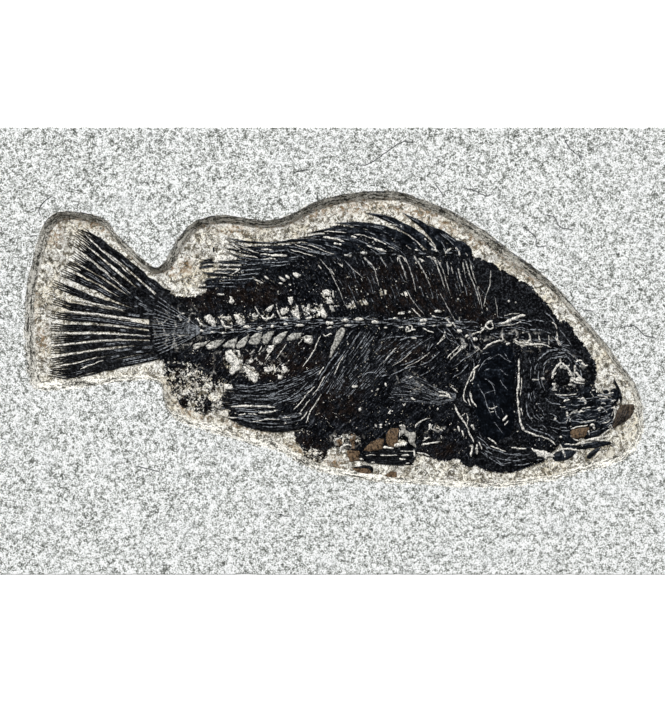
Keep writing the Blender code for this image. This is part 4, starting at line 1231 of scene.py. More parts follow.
# THE HEAD
# Thin plates of black bone, crushed flat and overlapping: the skull roof, the cheek bone that sweeps round
# below the eye, the broad smooth gill cover, the shoulder bone behind it, and the throat rays below.
SKULL = (
    (474, 258), (490, 263), (510, 275), (530, 286), (546, 303), (559, 320), (572, 328), (576, 336),
    (588, 352), (595, 366), (596, 376), (586, 370), (574, 356), (560, 348), (544, 346), (528, 334),
    (512, 326), (498, 318), (489, 304), (482, 288), (474, 272),
)
SNOUT_BONE = ((582, 366), (590, 365), (595, 371), (595, 378), (590, 381), (584, 378), (580, 372))
GILL_COVER = (
    (484, 348), (500, 342), (512, 346), (516, 360), (516, 380), (514, 400), (516, 420), (512, 436),
    (498, 444), (486, 440), (478, 424), (474, 408), (472, 392), (472, 376), (478, 362),
)
CHEEK = (
    (521, 352), (529, 354), (533, 372), (533, 392), (536, 410), (546, 424), (560, 436), (556, 445),
    (540, 438), (526, 432), (520, 420), (519, 400), (519, 380),
)
FACE_PLATES = (
    ((536, 356), (545, 352), (549, 362), (544, 380), (549, 394), (540, 398), (535, 384), (534, 370)),
    ((534, 396), (548, 398), (560, 406), (562, 424), (556, 430), (544, 420), (537, 410)),
    ((550, 392), (566, 393), (579, 391), (578, 398), (566, 402), (552, 399)),
    ((498, 330), (512, 330), (522, 336), (518, 342), (504, 340), (497, 336)),
)
EYE = (
    (555, 377), (557, 371), (561, 367.5), (565, 368.5), (569, 373), (570.5, 380), (568, 385), (561, 386),
    (556, 383),
)
EYE_RINGS = (
    ((540, 374), (542, 364), (550, 356), (561, 353), (571, 357), (578, 367), (580, 380), (575, 393)),
)
# Pale stone shows in the eye, behind the bones that have slipped, and in two gaps of the throat.
EYE_STONE = (
    ((560.5, 361.5), (563, 362.5), (560, 366), (557, 369.5), (555, 374), (554.5, 379), (551.5, 379),
     (552, 373), (554.5, 367)),
    ((562, 361.5), (566, 364), (571, 369), (573.5, 375), (574.5, 381), (571.5, 381), (571, 376), (567, 370),
     (562.5, 365.5)), ((550.5, 383), (557.5, 383), (556, 386.5), (558, 391), (551, 391), (553, 387)),
    ((568, 384), (573, 383), (573, 386), (569, 386.5)),
    ((575, 378), (580, 376.5), (586, 379), (585, 382), (577, 382.5)),
    ((577, 358), (579.5, 359), (579.5, 364), (577, 363)),
    ((540, 377), (545, 376.5), (545.5, 380), (541, 381)),
)
THROAT_STONE = (
    ((529, 446.5), (536, 449), (544, 449.5), (550, 452), (556, 455.5), (555, 458.5), (549, 458),
     (546.5, 464.5), (544, 459), (538, 457), (533, 452)),
    ((511, 446.5), (520, 447), (528, 448), (530, 450), (520, 450.5), (512, 449)),
)
HEAD_LINES = (
    (11, ((498, 316), (525, 320), (556, 334)), ((490, 336), (526, 341), (576, 352))),
    (6, ((536, 396), (533, 368), (546, 349), (568, 349), (584, 366)), ((546, 390), (545, 370), (553, 359),
     (567, 359), (576, 372))),
    (6, ((476, 428), (488, 444), (518, 452), (545, 452)), ((482, 456), (500, 467), (522, 466), (545, 462))),
    (6, ((523, 358), (522, 400), (532, 424), (556, 436)), ((535, 358), (535, 396), (546, 414), (564, 428))),
    (12, ((568, 404), (590, 401), (614, 398)), ((566, 420), (590, 424), (610, 416))),
    (14, ((560, 396), (585, 394), (614, 393)), ((562, 438), (586, 437), (614, 424))),
    (12, ((436, 328), (456, 346), (466, 366)), ((470, 328), (484, 346), (478, 368))),
    (4, ((484, 352), (500, 346), (514, 352)), ((480, 372), (496, 372), (512, 380))),
    (3, ((476, 384), (486, 412), (500, 434)), ((492, 380), (504, 408), (514, 430))),
    (7, ((536, 404), (552, 404), (562, 412)), ((538, 424), (548, 420), (560, 424))),
)
SHOULDER = (
    (468, 372), (473, 371), (469, 384), (468, 396), (473, 406), (474, 418), (480, 434), (486, 446),
    (482, 456), (474, 450), (470, 436), (464, 424), (456, 410), (452, 400), (461, 396), (463, 384),
)
THROAT_PLATES = (
    ((478, 452), (490, 450), (508, 456), (526, 462), (520, 469), (502, 472), (486, 469), (478, 464)),
    ((484, 444), (500, 447), (522, 452), (536, 460), (524, 461), (504, 455), (488, 452)),
    ((500, 436), (514, 437), (530, 441), (528, 447), (512, 446), (498, 444)),
    ((461, 457), (468, 458), (474, 464), (472, 468), (463, 465)),
)
THROAT_GUIDES = (
    ((484, 440), (505, 447), (530, 449), (548, 446)), ((480, 448), (505, 456), (530, 458), (552, 452)),
    ((478, 458), (500, 464), (525, 463), (548, 458)),
)
skull_plates = [(SKULL, 0.0006, 0.003, 0.0), (SNOUT_BONE, 0.0009, 0.002, 0.0003)]
plates("skull_roof", skull_plates, black_bone, "black_bone", "skull")
# The gill cover's pale blue-grey clouds are painted sheen.
gill_bone = smooth_look("gill_bone", (0.45, (0.0008, 0.0013, 0.0022)), (0.57, (0.0052, 0.0072, 0.0110)),
                        (0.68, (0.042, 0.052, 0.068)))
plates("gill_plate", [(GILL_COVER, 0.0008, 0.004, 0.0)], gill_bone, "black_bone", "gill_cover")
face_plates = [(CHEEK, 0.0008, 0.002, 0.0)] + [(outline, 0.0006, 0.0016, 0.0) for outline in FACE_PLATES]
plates("cheek_plates", face_plates, black_bone, "black_bone", "cheek_bone")
plates("shoulder_plate", [(SHOULDER, 0.0008, 0.0016, 0.0)], black_bone, "black_bone", "shoulder_bone")
throat = [(outline, 0.0007, 0.002, 0.0) for outline in THROAT_PLATES]
plates("throat_plates", throat, black_bone, "black_bone", "throat_rays")
throat_lines = fan(THROAT_GUIDES, 12, 2.0, seed=820, gaps=0.1)
lay("throat_lines", throat_lines, black_bone, "black_bone", "throat_rays", lift=0.0004)
eye = plates("eye", [(EYE, 0.0012, 0.002, 0.0002)], black_bone, "black_bone", "eye_ring")
eye.data.attributes.remove(eye.data.attributes["crushed"])
rings = [strand(points, 3.4, 2.6, seed=840 + k, wander=0.8) for k, points in enumerate(EYE_RINGS)]
lay("eye_rings", rings, black_bone, "black_bone", "eye_ring", lift=0.0003, sides=2)
# Thin pale lines in the grey bone over the head, partly painted highlight.
head_lines = []
for number, (count, first, last) in enumerate(HEAD_LINES):
    head_lines += fan((first, last), count, 0.9, seed=2000 + 60 * number, wander=3.4, gaps=0.53)
lay("head_lines", head_lines, grey_bone, "black_bone", "skull", lift=0.0009)

# THE JAWS
# A jumble of small toothed black bones at the mouth: the upper jaw lies over the lower one, which points
# forward as a long blade.
UPPER_JAW = (
    ((583, 386), (592, 388), (600, 396), (596, 402), (586, 398), (580, 392)),
    ((602, 392), (606, 389.6), (610.5, 391.6), (607, 394)),
    ((610.5, 392), (612, 389), (615, 388.2), (618, 390), (619.6, 394), (620.4, 399), (617, 403), (613, 400),
     (611, 396)), ((596, 398), (610, 398), (616, 404), (606, 408), (597, 405)),
    ((605, 406), (614, 406), (615, 416), (609, 422), (603, 414)),
    ((578, 398), (586, 400), (590, 405), (584, 409), (578, 405)),
    ((584, 409), (598, 407), (604, 414), (600, 422), (590, 420), (583, 415)),
    ((565, 401), (576, 400), (580, 407), (572, 411), (564, 408)),
)
LOWER_JAW = (
    ((570, 417), (582, 413), (596, 420), (608, 420), (614, 425), (602, 430), (588, 425), (574, 427)),
    ((562, 428), (570, 427), (573, 436), (580, 440), (572, 446), (562, 440)),
    ((584, 434), (596, 430), (611, 427), (606, 433), (594, 438), (585, 440)),
    ((562, 441), (576, 445), (592, 442), (606, 441), (612, 442.5), (608, 446), (592, 449), (574, 450),
     (563, 448)), ((587, 458), (591, 451.5), (600, 447.5), (599, 452), (592, 458.5)),
    ((552, 455), (560, 451), (570, 450), (577, 452), (570, 459), (556, 462)),
    ((560, 410), (567, 412), (570, 424), (563, 428), (559, 420)),
)
SNOUT_SPINE = ((614.3, 379.5), (617, 385), (619.3, 391), (621, 397), (621.6, 404))
upper = [(outline, 0.0008, 0.0014, 0.0001) for outline in UPPER_JAW]
plates("upper_jaw_bones", upper, smooth_bone, "black_bone", "upper_jaw")
snout_spine = strand(SNOUT_SPINE, 2.8, 3.2, seed=860, knots=0.08)
lay("snout_spine", [snout_spine], black_bone, "black_bone", "upper_jaw", lift=0.0003)
lower = [(outline, 0.0008, 0.0014, 0.0) for outline in LOWER_JAW]
plates("lower_jaw_bones", lower, smooth_bone, "black_bone", "lower_jaw")

# THE FLAKES
# Loose brown flakes of scale and film that lie on the stone by the snout, the mouth and the pelvic fin.
SNOUT_FLAKE = (
    (619, 407.5), (621.6, 404.4), (628, 403.8), (634.4, 404.4), (635, 410.4), (632, 417), (627, 421.6),
    (620, 425.4), (614, 429), (610.8, 426), (614.6, 419), (616.6, 413),
)
MOUTH_FLAKE = (
    (570.4, 431), (576.6, 428.2), (585.4, 426.6), (591.4, 426.8), (588.8, 432), (586.4, 437), (577, 439.6),
    (571.4, 438.6),
)
BELLY_FLAKES = (
    ((352, 468), (360, 466), (370, 467), (373, 470), (370, 475), (361, 476.4), (356, 472)),
    ((351, 471.5), (354, 471.5), (356, 473), (353, 474.5), (351, 473)),
)
PELVIC_FLAKES = (
    ((346.4, 451), (349.4, 449.6), (353, 450.4), (359.6, 450.4), (361, 453), (359.6, 457), (361, 461),
     (355, 461.6), (349.6, 462.4), (347.6, 457)),
    ((392, 427.4), (395, 427.8), (399, 426.8), (400, 431), (398.6, 435), (398.6, 440), (398, 444.4),
     (393.4, 447.6), (388.6, 447.4), (386, 442.4), (385.2, 435), (388.6, 429.4)),
    ((362.8, 451), (365, 447), (368, 444.4), (371, 441), (374.6, 440.2), (380, 437.6), (385, 438.4),
     (384.2, 443.4), (383, 449.6), (377, 451.2), (368, 452.2)),
    ((335.4, 440), (339, 438), (342.4, 439), (343, 444), (341, 447.4), (336.4, 446.4)),
    ((348.6, 436), (351, 433.4), (353.4, 434.6), (355.8, 433.4), (356.4, 438), (355, 443), (355.6, 449),
     (350.6, 449.6), (351, 444), (349, 441)),
)
CHIP_FLAKE = (
    (383.4, 475.8), (388, 473.4), (391, 471), (393.4, 471.4), (397.2, 471.6), (397.4, 478), (393.4, 479),
    (388, 479),
)
FLAKE_LINES = (((612, 426), (618, 417), (622, 406)), ((622, 424), (630, 415), (633, 405)))
snout_look = bone_look("snout_flake", (0.013, 0.010, 0.008), (0.125, 0.096, 0.072), 0.47, 0.5)
flake_look = bone_look("brown_flake", (0.026, 0.018, 0.012), (0.23, 0.155, 0.095), 0.455, 0.5)
plates("snout_flake_scale", [(SNOUT_FLAKE, 0.0006, 0.0006, 0.0)], snout_look, "brown_flake", "snout_flake")
flake_lines = fan(FLAKE_LINES, 5, 0.9, seed=870, wander=0.8, gaps=0.3)
lay("snout_flake_lines", flake_lines, black_bone, "brown_flake", "snout_flake", lift=0.00065)
plates("mouth_flake_scale", [(MOUTH_FLAKE, 0.0007, 0.0006, 0.0005)], flake_look, "brown_flake", "mouth_flake")
lens = [(outline, 0.0005, 0.0008, 0.0) for outline in BELLY_FLAKES]
plates("lens_flake_scale", lens, flake_look, "brown_flake", "lens_flake")
chip = [(cornered(CHIP_FLAKE), 0.0005, 0.0006, 0.0)]
plates("chip_flake_scale", chip, flake_look, "brown_flake", "chip_flake", spacing=FINE_SPACING)
flank_flakes = [(cornered(outline), 0.0006, 0.0005, 0.0) for outline in PELVIC_FLAKES]
plates("pelvic_flakes", flank_flakes, flake_look, "brown_flake", "square_flake", "upper_flank_flake",
       "lower_flank_flake", "round_flake", "ribbon_flake", spacing=FINE_SPACING)
LENS_SHADE = (
    (351.8, 468.4), (357, 466.4), (363.6, 465.2), (370.4, 465.4), (374, 469.6), (371.4, 473),
    (368.4, 469.8), (360, 469.4),
)
plates("lens_shade", [(LENS_SHADE, 0.0004, 0.0005, 0.0004)], black_bone, "black_bone")

# THE STONE LEFT BETWEEN THE BONES
# Thin wandering slivers of the cream stone, which the preparer left in the crevices beside the bones. Each
# has a width at its two ends.
SLIVERS = (
    (2.0, 0.8, ((84, 234), (100, 249), (118, 264), (130, 275))),
    (1.6, 0.8, ((73, 247), (90, 260), (110, 277), (130, 293))),
    (1.6, 0.8, ((70, 299), (100, 305), (125, 310))), (1.4, 2.6, ((60, 311), (100, 315), (131, 319))),
    (1.6, 1.2, ((50, 333), (108, 334), (150, 336))), (1.6, 1.0, ((50, 346), (90, 342), (122, 339))),
    (1.6, 0.8, ((50, 358), (90, 351), (108, 348))), (1.4, 0.7, ((55, 367), (85, 361), (97, 357))),
    (1.4, 0.8, ((80, 369), (103, 360))),
    (2.4, 1.2, ((437, 250), (424, 238), (408, 229), (392, 224), (385, 224))),
    (2.0, 1.6, ((371, 237), (383, 242.5), (395, 249.5))),
    (1.4, 2.8, ((363, 244), (374, 248), (387, 251.5))),
    (1.6, 2.6, ((404.5, 244), (412, 248.5), (421, 251))),
    (0.9, 0.8, ((354, 234.5), (360, 234.6), (366, 236), (372, 238.5))),
    (0.9, 0.7, ((324, 231), (336, 231.5), (346, 232.5))),
    (2.6, 2.0, ((323, 237), (334, 238.5), (344.5, 241.5))), (2.2, 1.6, ((334, 243), (342, 245))),
    (2.0, 1.4, ((351, 236), (357, 237.5))), (1.6, 1.2, ((441, 244), (444, 249), (446, 254))),
    (2.2, 1.8, ((452, 248), (448, 251), (446, 254))), (1.8, 2.2, ((455.5, 247), (458.5, 251), (460, 256))),
    (1.2, 0.94, ((465, 252), (468, 256))), (0.98, 0.82, ((364.5, 257), (367, 261))),
    (1.5, 0.98, ((380, 257), (383.5, 262))),
    (1.1, 0.98, ((398, 262), (398.5, 257), (401, 255.6), (404, 258), (406, 262))),
    (1.2, 0.76, ((414.5, 257), (418, 262))), (2, 1, ((419, 258), (424.5, 261.5))),
    (1.4, 0.86, ((433, 256.5), (435, 259), (437, 262))), (0.76, 0.64, ((427, 256), (432, 257.5))),
    (1.2, 0.9, ((230, 243.5), (235, 246), (240, 249.5))),
    (1.0, 1.2, ((235, 243), (245, 246), (256, 245), (267, 244.5))), (1.2, 1.0, ((248, 249.5), (259, 253))),
    (1.2, 1.6, ((261, 249), (269, 249.5), (274, 251))), (1.4, 1.2, ((241, 255), (250, 256), (258, 257.5))),
    (1.4, 3.0, ((260, 254), (273, 255), (287, 255.6))), (1.2, 1.6, ((263, 258.6), (276, 259))),
    (1.2, 1.4, ((231, 252.5), (239, 254.5))), (2.0, 1.4, ((239, 251), (241, 252))),
    (1.3, 1.3, ((217, 264.6), (237, 265))), (1.5, 1.5, ((216.5, 269), (231, 269))),
    (1.5, 1.3, ((214, 273), (228, 273))), (1.2, 1.8, ((232, 273.5), (240, 269.5))),
    (1.6, 2.0, ((254, 279), (259, 281.5), (263, 283.5))), (2.2, 1.6, ((264, 276), (269, 279))),
    (2.6, 3.0, ((279, 277), (282, 279), (285, 281))), (2.6, 2.0, ((285, 275), (290, 278.5))),
    (1.6, 1.6, ((278, 283), (282, 283.4))), (1.6, 1.8, ((288, 284), (291, 285))),
    (1.4, 1.2, ((318, 265), (321, 269))), (1.2, 1.2, ((330, 269), (334, 274.5))),
    (1.6, 1.3, ((338, 263), (343, 267))), (0.9, 0.7, ((295, 244.5), (306, 248), (318, 252))),
    (0.9, 0.7, ((290, 249.5), (304, 253), (316, 257))),
    (0.8, 0.7, ((306, 244), (316, 247), (327, 252), (335, 254))),
    (2.4, 1.8, ((230.5, 407), (245, 406), (260, 406.5), (275, 407))),
    (1.8, 2.0, ((258, 413), (268, 412), (277, 410.5))), (1.2, 1.0, ((238, 415), (248, 414), (257, 414.5))),
    (1.4, 1.0, ((228, 417.5), (237, 417.5))),
    (1.0, 1.4, ((249.5, 422), (258, 421), (267, 419), (280, 419.5))),
    (1.4, 1.2, ((282, 417.7), (290.5, 417.3))), (2.0, 1.6, ((299, 413.5), (302, 414.5))),
    (1.6, 1.4, ((284, 423), (287, 424))), (1.2, 0.9, ((294, 409.5), (302, 401), (309, 392), (315, 386))),
    (1.2, 0.9, ((301, 412), (306, 405), (310, 399.5))),
    (1.3, 1.0, ((325, 376), (321, 383), (317, 389.5), (313, 396))),
    (1.3, 1.2, ((306, 423), (311, 410), (316, 403), (322, 394))),
    (1.0, 0.9, ((300.5, 421), (305, 415), (308, 411))), (1.4, 1.0, ((324, 367), (321, 371), (318.5, 375))),
    (1.0, 0.8, ((344, 355), (339, 365), (334, 375))), (1.0, 0.8, ((316, 347), (310, 357), (303, 367))),
    (1.0, 0.8, ((321, 336), (316, 345), (311, 355))),
    (1.0, 0.9, ((322, 333.5), (325, 336), (328, 335), (331, 333.5), (332, 335))),
    (1.0, 0.9, ((302, 339), (298.5, 344.5))), (0.9, 0.8, ((275, 346), (270, 353), (265, 360))),
    (0.9, 0.8, ((262, 346), (259, 352))), (0.8, 0.7, ((287, 343), (280, 353), (276, 359))),
    (1.0, 0.8, ((396, 348), (388, 357), (381, 364))), (0.7, 0.6, ((412, 352), (402, 360), (392, 366))),
    (0.8, 0.6, ((430, 352), (418, 361), (404, 368))), (1.2, 0.8, ((446, 333), (440, 341))),
    (1.2, 1.0, ((460, 345), (447, 358))), (1.0, 0.8, ((463, 347), (450, 360))),
    (1.4, 1.0, ((409, 379), (413, 376))), (2.2, 1.6, ((438, 391), (446, 393), (451, 398))),
    (2.0, 1.2, ((439, 396), (447, 396), (453, 399))), (1.8, 1.2, ((452, 388), (458, 392))),
    (2.0, 2.0, ((385, 383), (387, 387))), (2.6, 1.6, ((376, 390), (379, 388))),
    (2.2, 2.0, ((371, 391), (373, 391))), (2.0, 2.0, ((421, 385), (423, 385))),
    (2.0, 1.6, ((427, 388), (429, 387))), (3.6, 2.6, ((352, 387), (358, 386))),
    (2.0, 1.2, ((411, 398), (416, 400))), (1.3, 0.98, ((398, 313), (405, 312))),
    (1.4, 1.0, ((406, 331), (411, 330), (412, 326), (408, 325))), (1.3, 0.82, ((412, 308), (420, 316))),
    (1.4, 1.0, ((423, 328), (434, 333))), (2.0, 1.6, ((452, 322), (456, 327))),
    (1.1, 1.1, ((416, 312), (419, 315), (421, 317))), (1.3, 0.98, ((431.5, 315), (437, 317.5))),
    (1.6, 1.8, ((406, 331.5), (407, 327), (409.5, 331))), (2.2, 1.6, ((445, 318), (450, 323), (452, 326))),
    (2.0, 1.4, ((446, 331), (444.5, 335), (444, 339))),
    (1.6, 1.2, ((443.5, 338.5), (440, 341.5), (437, 344.5))), (1.1, 0.82, ((459, 317), (460, 321.5))),
    (1.6, 1.2, ((472, 334), (481, 332))), (1.8, 1.2, ((480, 333), (486, 326))),
    (1.8, 1.6, ((493, 321), (488, 322), (486, 326), (489, 329), (493, 328))),
    (3.0, 3.0, ((499, 324), (506, 322.5), (514, 319), (520, 316), (526, 316))),
    (1.0, 0.8, ((504, 316), (510, 314), (520, 313))), (2.4, 1.4, ((502, 333), (503, 341))),
    (2.6, 2.2, ((506, 345), (510, 343))), (1.6, 2.0, ((483, 349), (490, 344), (499, 341), (502, 341))),
    (1.4, 1.0, ((515, 340), (520, 343), (528, 343), (536, 345))),
    (1.5, 0.8, ((557, 332), (559, 341), (563, 347))), (1.0, 0.8, ((549, 335), (549, 345))),
    (1.6, 1.2, ((552, 322), (556, 325), (557, 329))), (2.2, 1.4, ((581, 362), (586, 366), (588, 365))),
    (2.4, 1.6, ((576, 372), (580, 377), (584, 381))), (1.6, 1.2, ((519, 358), (519.5, 372))),
    (2.0, 2.6, ((519.5, 372), (518.5, 385), (517.5, 395))),
    (2.4, 1.8, ((517.5, 395), (518.5, 405), (519.5, 415), (520.5, 423), (524, 430), (532, 434),
     (542, 437))), (1.6, 1.4, ((540, 436), (550, 440), (556, 445))), (1.4, 1.0, ((521, 408), (523, 416))),
    (0.8, 0.7, ((522, 378), (521, 396))),
    (1.6, 1.2, ((480, 364), (473, 371), (469, 380), (465, 390), (464, 398), (467, 403))),
    (1.4, 1.8, ((475, 370), (473, 378), (470, 382))), (1.9, 1.4, ((470.5, 391), (472, 400), (477, 407))),
    (1.4, 1.1, ((468, 399), (471, 406))),
    (2.0, 1.6, ((454, 404), (457, 411), (461, 418), (466, 425), (470, 434), (474, 443))),
    (1.3, 1.2, ((461, 417), (466, 413), (468, 419), (467, 425))),
    (2.2, 2.2, ((472, 445), (472, 452), (471, 457))), (2.2, 1.8, ((477, 444), (477, 455))),
    (3.4, 1.2, ((472, 424), (474, 430))), (2.6, 1.0, ((458, 426), (460, 432))),
    (1.8, 1.0, ((462, 430), (464, 437))), (1.8, 1.0, ((479, 442), (482, 450))),
    (1.8, 1.2, ((488, 438), (493, 441), (497, 445))), (1.6, 1.0, ((491, 446), (498, 449), (506, 452))),
    (1.2, 1.0, ((549, 459), (550, 468))), (2.4, 1.4, ((563, 450), (565, 455), (565, 458))),
    (1.4, 1.2, ((553, 455), (559, 450.5), (570, 449), (580, 451))), (2.0, 1.2, ((561, 436), (562, 438))),
    (1.4, 1.4, ((571, 435), (575, 440), (579, 441))), (1.4, 1.2, ((571, 429), (580, 426.5), (588, 425))),
    (2.6, 2.2, ((590, 426), (594, 425), (595, 430))), (1.4, 1.0, ((602, 435), (607, 432), (611, 429.5))),
    (1.4, 1.2, ((609, 428), (611, 424.5), (613, 428))), (3.0, 2.2, ((591, 440), (595, 439), (600, 441))),
    (1.2, 1.0, ((569, 395), (577, 394))), (1.2, 1.0, ((563.5, 401.5), (570, 400))),
    (1.0, 0.8, ((560, 407), (567, 407))), (1.6, 1.4, ((580, 401), (583, 398), (586, 401), (586, 405))),
    (1.6, 1.2, ((582, 408.5), (587, 408), (592, 407))), (1.2, 1.0, ((570, 415), (573, 412), (578, 410))),
    (1.4, 1.4, ((578.5, 414), (582, 410))), (2.0, 1.6, ((567, 417), (568, 412))),
    (1.4, 1.0, ((570, 422), (571.5, 418))), (1.2, 1.0, ((590, 395), (592, 391), (595, 390))),
    (0.9, 0.8, ((600, 396), (609, 396))), (0.9, 0.8, ((599, 399), (608, 398.5))),
    (1.2, 1.2, ((604, 401), (608.5, 400.5), (609, 403.5))), (1.8, 1.4, ((611, 401.5), (616, 400.5))),
    (1.8, 1.6, ((597, 412), (601.5, 410))), (1.2, 1.0, ((594.5, 416), (595.5, 421))),
    (1.4, 1.4, ((606.5, 417), (610, 418), (613, 414), (613.5, 411))),
    (1.2, 1.0, ((615, 405.5), (614.5, 411), (615.5, 416), (613.5, 421))),
    (1.4, 1.0, ((598, 417), (601, 417.5))), (1.0, 0.8, ((586, 413), (590, 416), (593, 415))),
    (1.0, 0.8, ((574, 420), (580, 423), (588, 422))), (1.4, 1.0, ((578, 443), (581, 444.5), (583, 446.5))),
    (1.4, 1.2, ((560, 449.5), (567, 449), (574, 449.5))), (2.4, 1.6, ((508, 415), (503, 421))),
    (1.2, 1.0, ((504, 425), (509, 421))), (1.8, 1.4, ((487, 407), (492, 409), (497, 406))),
    (1.4, 1.2, ((490, 412), (497, 412))), (1.4, 1.0, ((555, 394.4), (566, 395.4), (575, 394.4))),
    (1.6, 1.0, ((564, 400.6), (570.5, 399.5))),
    (1.4, 1.0, ((577, 398.6), (583, 399.6), (585, 403.6), (583, 406))),
    (1.3, 1.0, ((585, 393), (591.6, 394.2), (594.7, 398.4))),
    (1.4, 1.0, ((597, 395.4), (606, 396.4), (608.4, 399.4))), (1.6, 1.0, ((608.4, 394.2), (614.7, 392))),
    (1.5, 1.0, ((600, 402.6), (608.4, 403.7), (614.7, 401.6))),
    (1.5, 1.0, ((569.5, 415.3), (574.7, 412), (585.3, 411), (591.6, 409))),
    (1.2, 0.9, ((566.3, 411), (568.4, 417.4), (566.3, 423.7))),
    (1.4, 1.0, ((595.8, 410), (602, 408), (606.3, 411))),
    (1.4, 1.0, ((608.4, 409), (614.7, 408), (616.8, 413))),
    (1.3, 1.0, ((576.8, 422.6), (587.4, 421.6), (598, 419.5))),
    (1.3, 1.0, ((602, 423.7), (608.4, 421.6), (611.6, 417.4))), (2.4, 1.6, ((588.6, 430), (590.4, 436))),
    (1.8, 1.2, ((585.3, 440.5), (595.8, 438.4), (608.4, 436.3))),
    (1.4, 1.0, ((564.2, 444.7), (574.7, 444.7), (583.2, 441.6))),
    (1.2, 0.9, ((560, 451), (566.3, 449), (574.7, 450), (576.8, 446.8))),
    (1.2, 0.9, ((532.6, 379.5), (539, 379.5))), (1.4, 1.0, ((574.7, 362.6), (581, 360.5), (585.3, 364.7))),
    (1.6, 1.0, ((570.5, 379.5), (576.8, 382.6), (585.3, 383.7))),
    (1.6, 1.0, ((486, 326), (490.5, 321.6), (493.7, 326.8), (489.5, 330))),
    (1.2, 0.9, ((501, 325.8), (513.7, 324.7), (523, 320.5))), (1.4, 1.0, ((555.8, 337.4), (560, 345.8))),
    (1.6, 1.0, ((520, 341.6), (528.4, 344.7), (539, 343.7), (551.6, 346.8))),
    (1.8, 1.2, ((539, 335.3), (541, 341.6))), (1.6, 1.0, ((415, 428), (418, 424), (423, 420), (430, 418))),
    (2.0, 1.4, ((421.5, 445), (428, 443.6), (440, 441.6))),
    (1.6, 1.0, ((423, 441), (426.6, 439), (430, 437.4))),
    (1.0, 0.8, ((380, 455.3), (388, 455.6), (397.5, 455.3))),
    (2.0, 1.6, ((401.6, 455.6), (405, 455.2), (409.4, 455.6))),
    (1.6, 1.2, ((399, 459), (402.6, 459.4), (406, 458.8))),
    (1.0, 0.8, ((400, 450.8), (407, 451.6), (414, 451))), (1.0, 0.8, ((406, 463.4), (410, 463))),
    (1.8, 1.2, ((359.8, 459), (363.4, 459.2))), (1.0, 0.8, ((371, 462.6), (375, 462.2))),
    (1.0, 0.7, ((366, 456), (372, 455), (376, 455.6))),
    (1.8, 1.2, ((399.6, 425.8), (403.4, 425.2), (405.6, 427.6))),
    (1.2, 0.8, ((428.6, 430), (431, 427.6), (432.6, 424.6))), (1.2, 0.8, ((429.6, 426.4), (433, 429.8))),
    (1.3, 1.0, ((400.4, 430), (400, 434), (399.2, 438))), (1.4, 1.0, ((441.4, 435.4), (442, 439))),
    (1.6, 1.0, ((417, 453), (424, 454), (430, 456))), (2.6, 1.6, ((383, 448), (389, 448), (394, 449))),
    (4.4, 2.4, ((394, 446), (398, 445), (404, 445))), (3.0, 1.6, ((414, 450), (415, 457))),
    (3.2, 1.8, ((430, 424), (430, 429))), (2.0, 1.4, ((374.6, 424.4), (376.4, 427.6))),
    (1.5, 1.0, ((379, 425), (382.6, 424.4))), (1.4, 1.0, ((378.6, 427.6), (382.2, 427.4))),
    (1.6, 1.2, ((388, 414), (391, 410))), (2.4, 1.6, ((340, 449), (346, 445), (352, 446))),
    (2.0, 1.4, ((430, 247), (434, 250), (438, 251))),
)
ROD_SLIVERS = (
    (1.46, 0.65, ((364, 257), (374, 268), (379, 286))), (1.29, 0.75, ((381, 256), (386, 267))),
    (1.56, 0.75, ((398, 255), (403, 268), (407, 280))), (1.56, 0.88, ((414, 255), (424, 272), (431, 287))),
    (1.43, 0.88, ((433, 257), (438, 267), (445, 288))), (1.29, 0.75, ((447, 262), (449, 275))),
    (1.29, 0.75, ((451, 262), (453, 274))), (1.95, 0.94, ((458, 268), (463, 287))),
    (1.43, 0.75, ((463, 262), (465, 275))), (1.46, 0.85, ((466, 260), (470, 275), (476, 290), (480, 305))),
    (0.73, 0.65, ((319, 258), (331, 273), (348, 310))), (0.81, 0.65, ((345, 260), (352, 268), (363, 278))),
    (0.96, 0.85, ((491, 270), (490, 284), (486, 296), (484, 306))),
    (0.91, 0.62, ((405, 257), (412, 274), (416, 292))), (0.91, 0.62, ((437, 258), (443, 270), (451, 296))),
    (1.04, 0.62, ((469, 258), (474, 276), (480, 296), (483, 310))),
    (0.78, 0.62, ((440, 292), (447, 306), (456, 322))), (0.78, 0.62, ((407, 290), (414, 302), (424, 314))),
    (0.78, 0.62, ((495, 296), (497, 310), (499, 318))),
)
BACK_SLIVERS = (
    (199.5, 204, 331, 2.0), (209.5, 216, 332.4, 2.0), (220.5, 226.5, 333.2, 1.6), (231, 234, 330.6, 1.8),
    (242.5, 250.5, 327.4, 3.0), (256, 262.7, 329.2, 2.4), (270.5, 275, 327, 2.0), (283.5, 288, 324.6, 1.8),
    (296.5, 304, 326, 1.8), (326, 334, 323.8, 2.8), (326.5, 333, 328.5, 1.4), (341.6, 348.7, 321, 3.4),
    (355, 363.7, 319.6, 2.8), (371.6, 378.7, 322.4, 2.8), (344, 352, 325.5, 1.6), (384, 387.5, 328, 1.8),
    (393, 398, 319, 1.6), (398, 405, 314, 2.0), (408, 411, 313, 2.2), (420, 427, 320.6, 3.0),
    (419.5, 426, 324, 1.6), (434, 442, 311.5, 2.0), (446, 452, 325.5, 2.0), (457, 462, 332, 3.6),
    (472.5, 477.5, 340, 3.6), (411, 417, 338.6, 1.8), (466, 469, 336, 2.0), (399, 404, 328, 1.6),
    (432, 437, 326, 1.4), (412, 416, 330, 1.4),
)
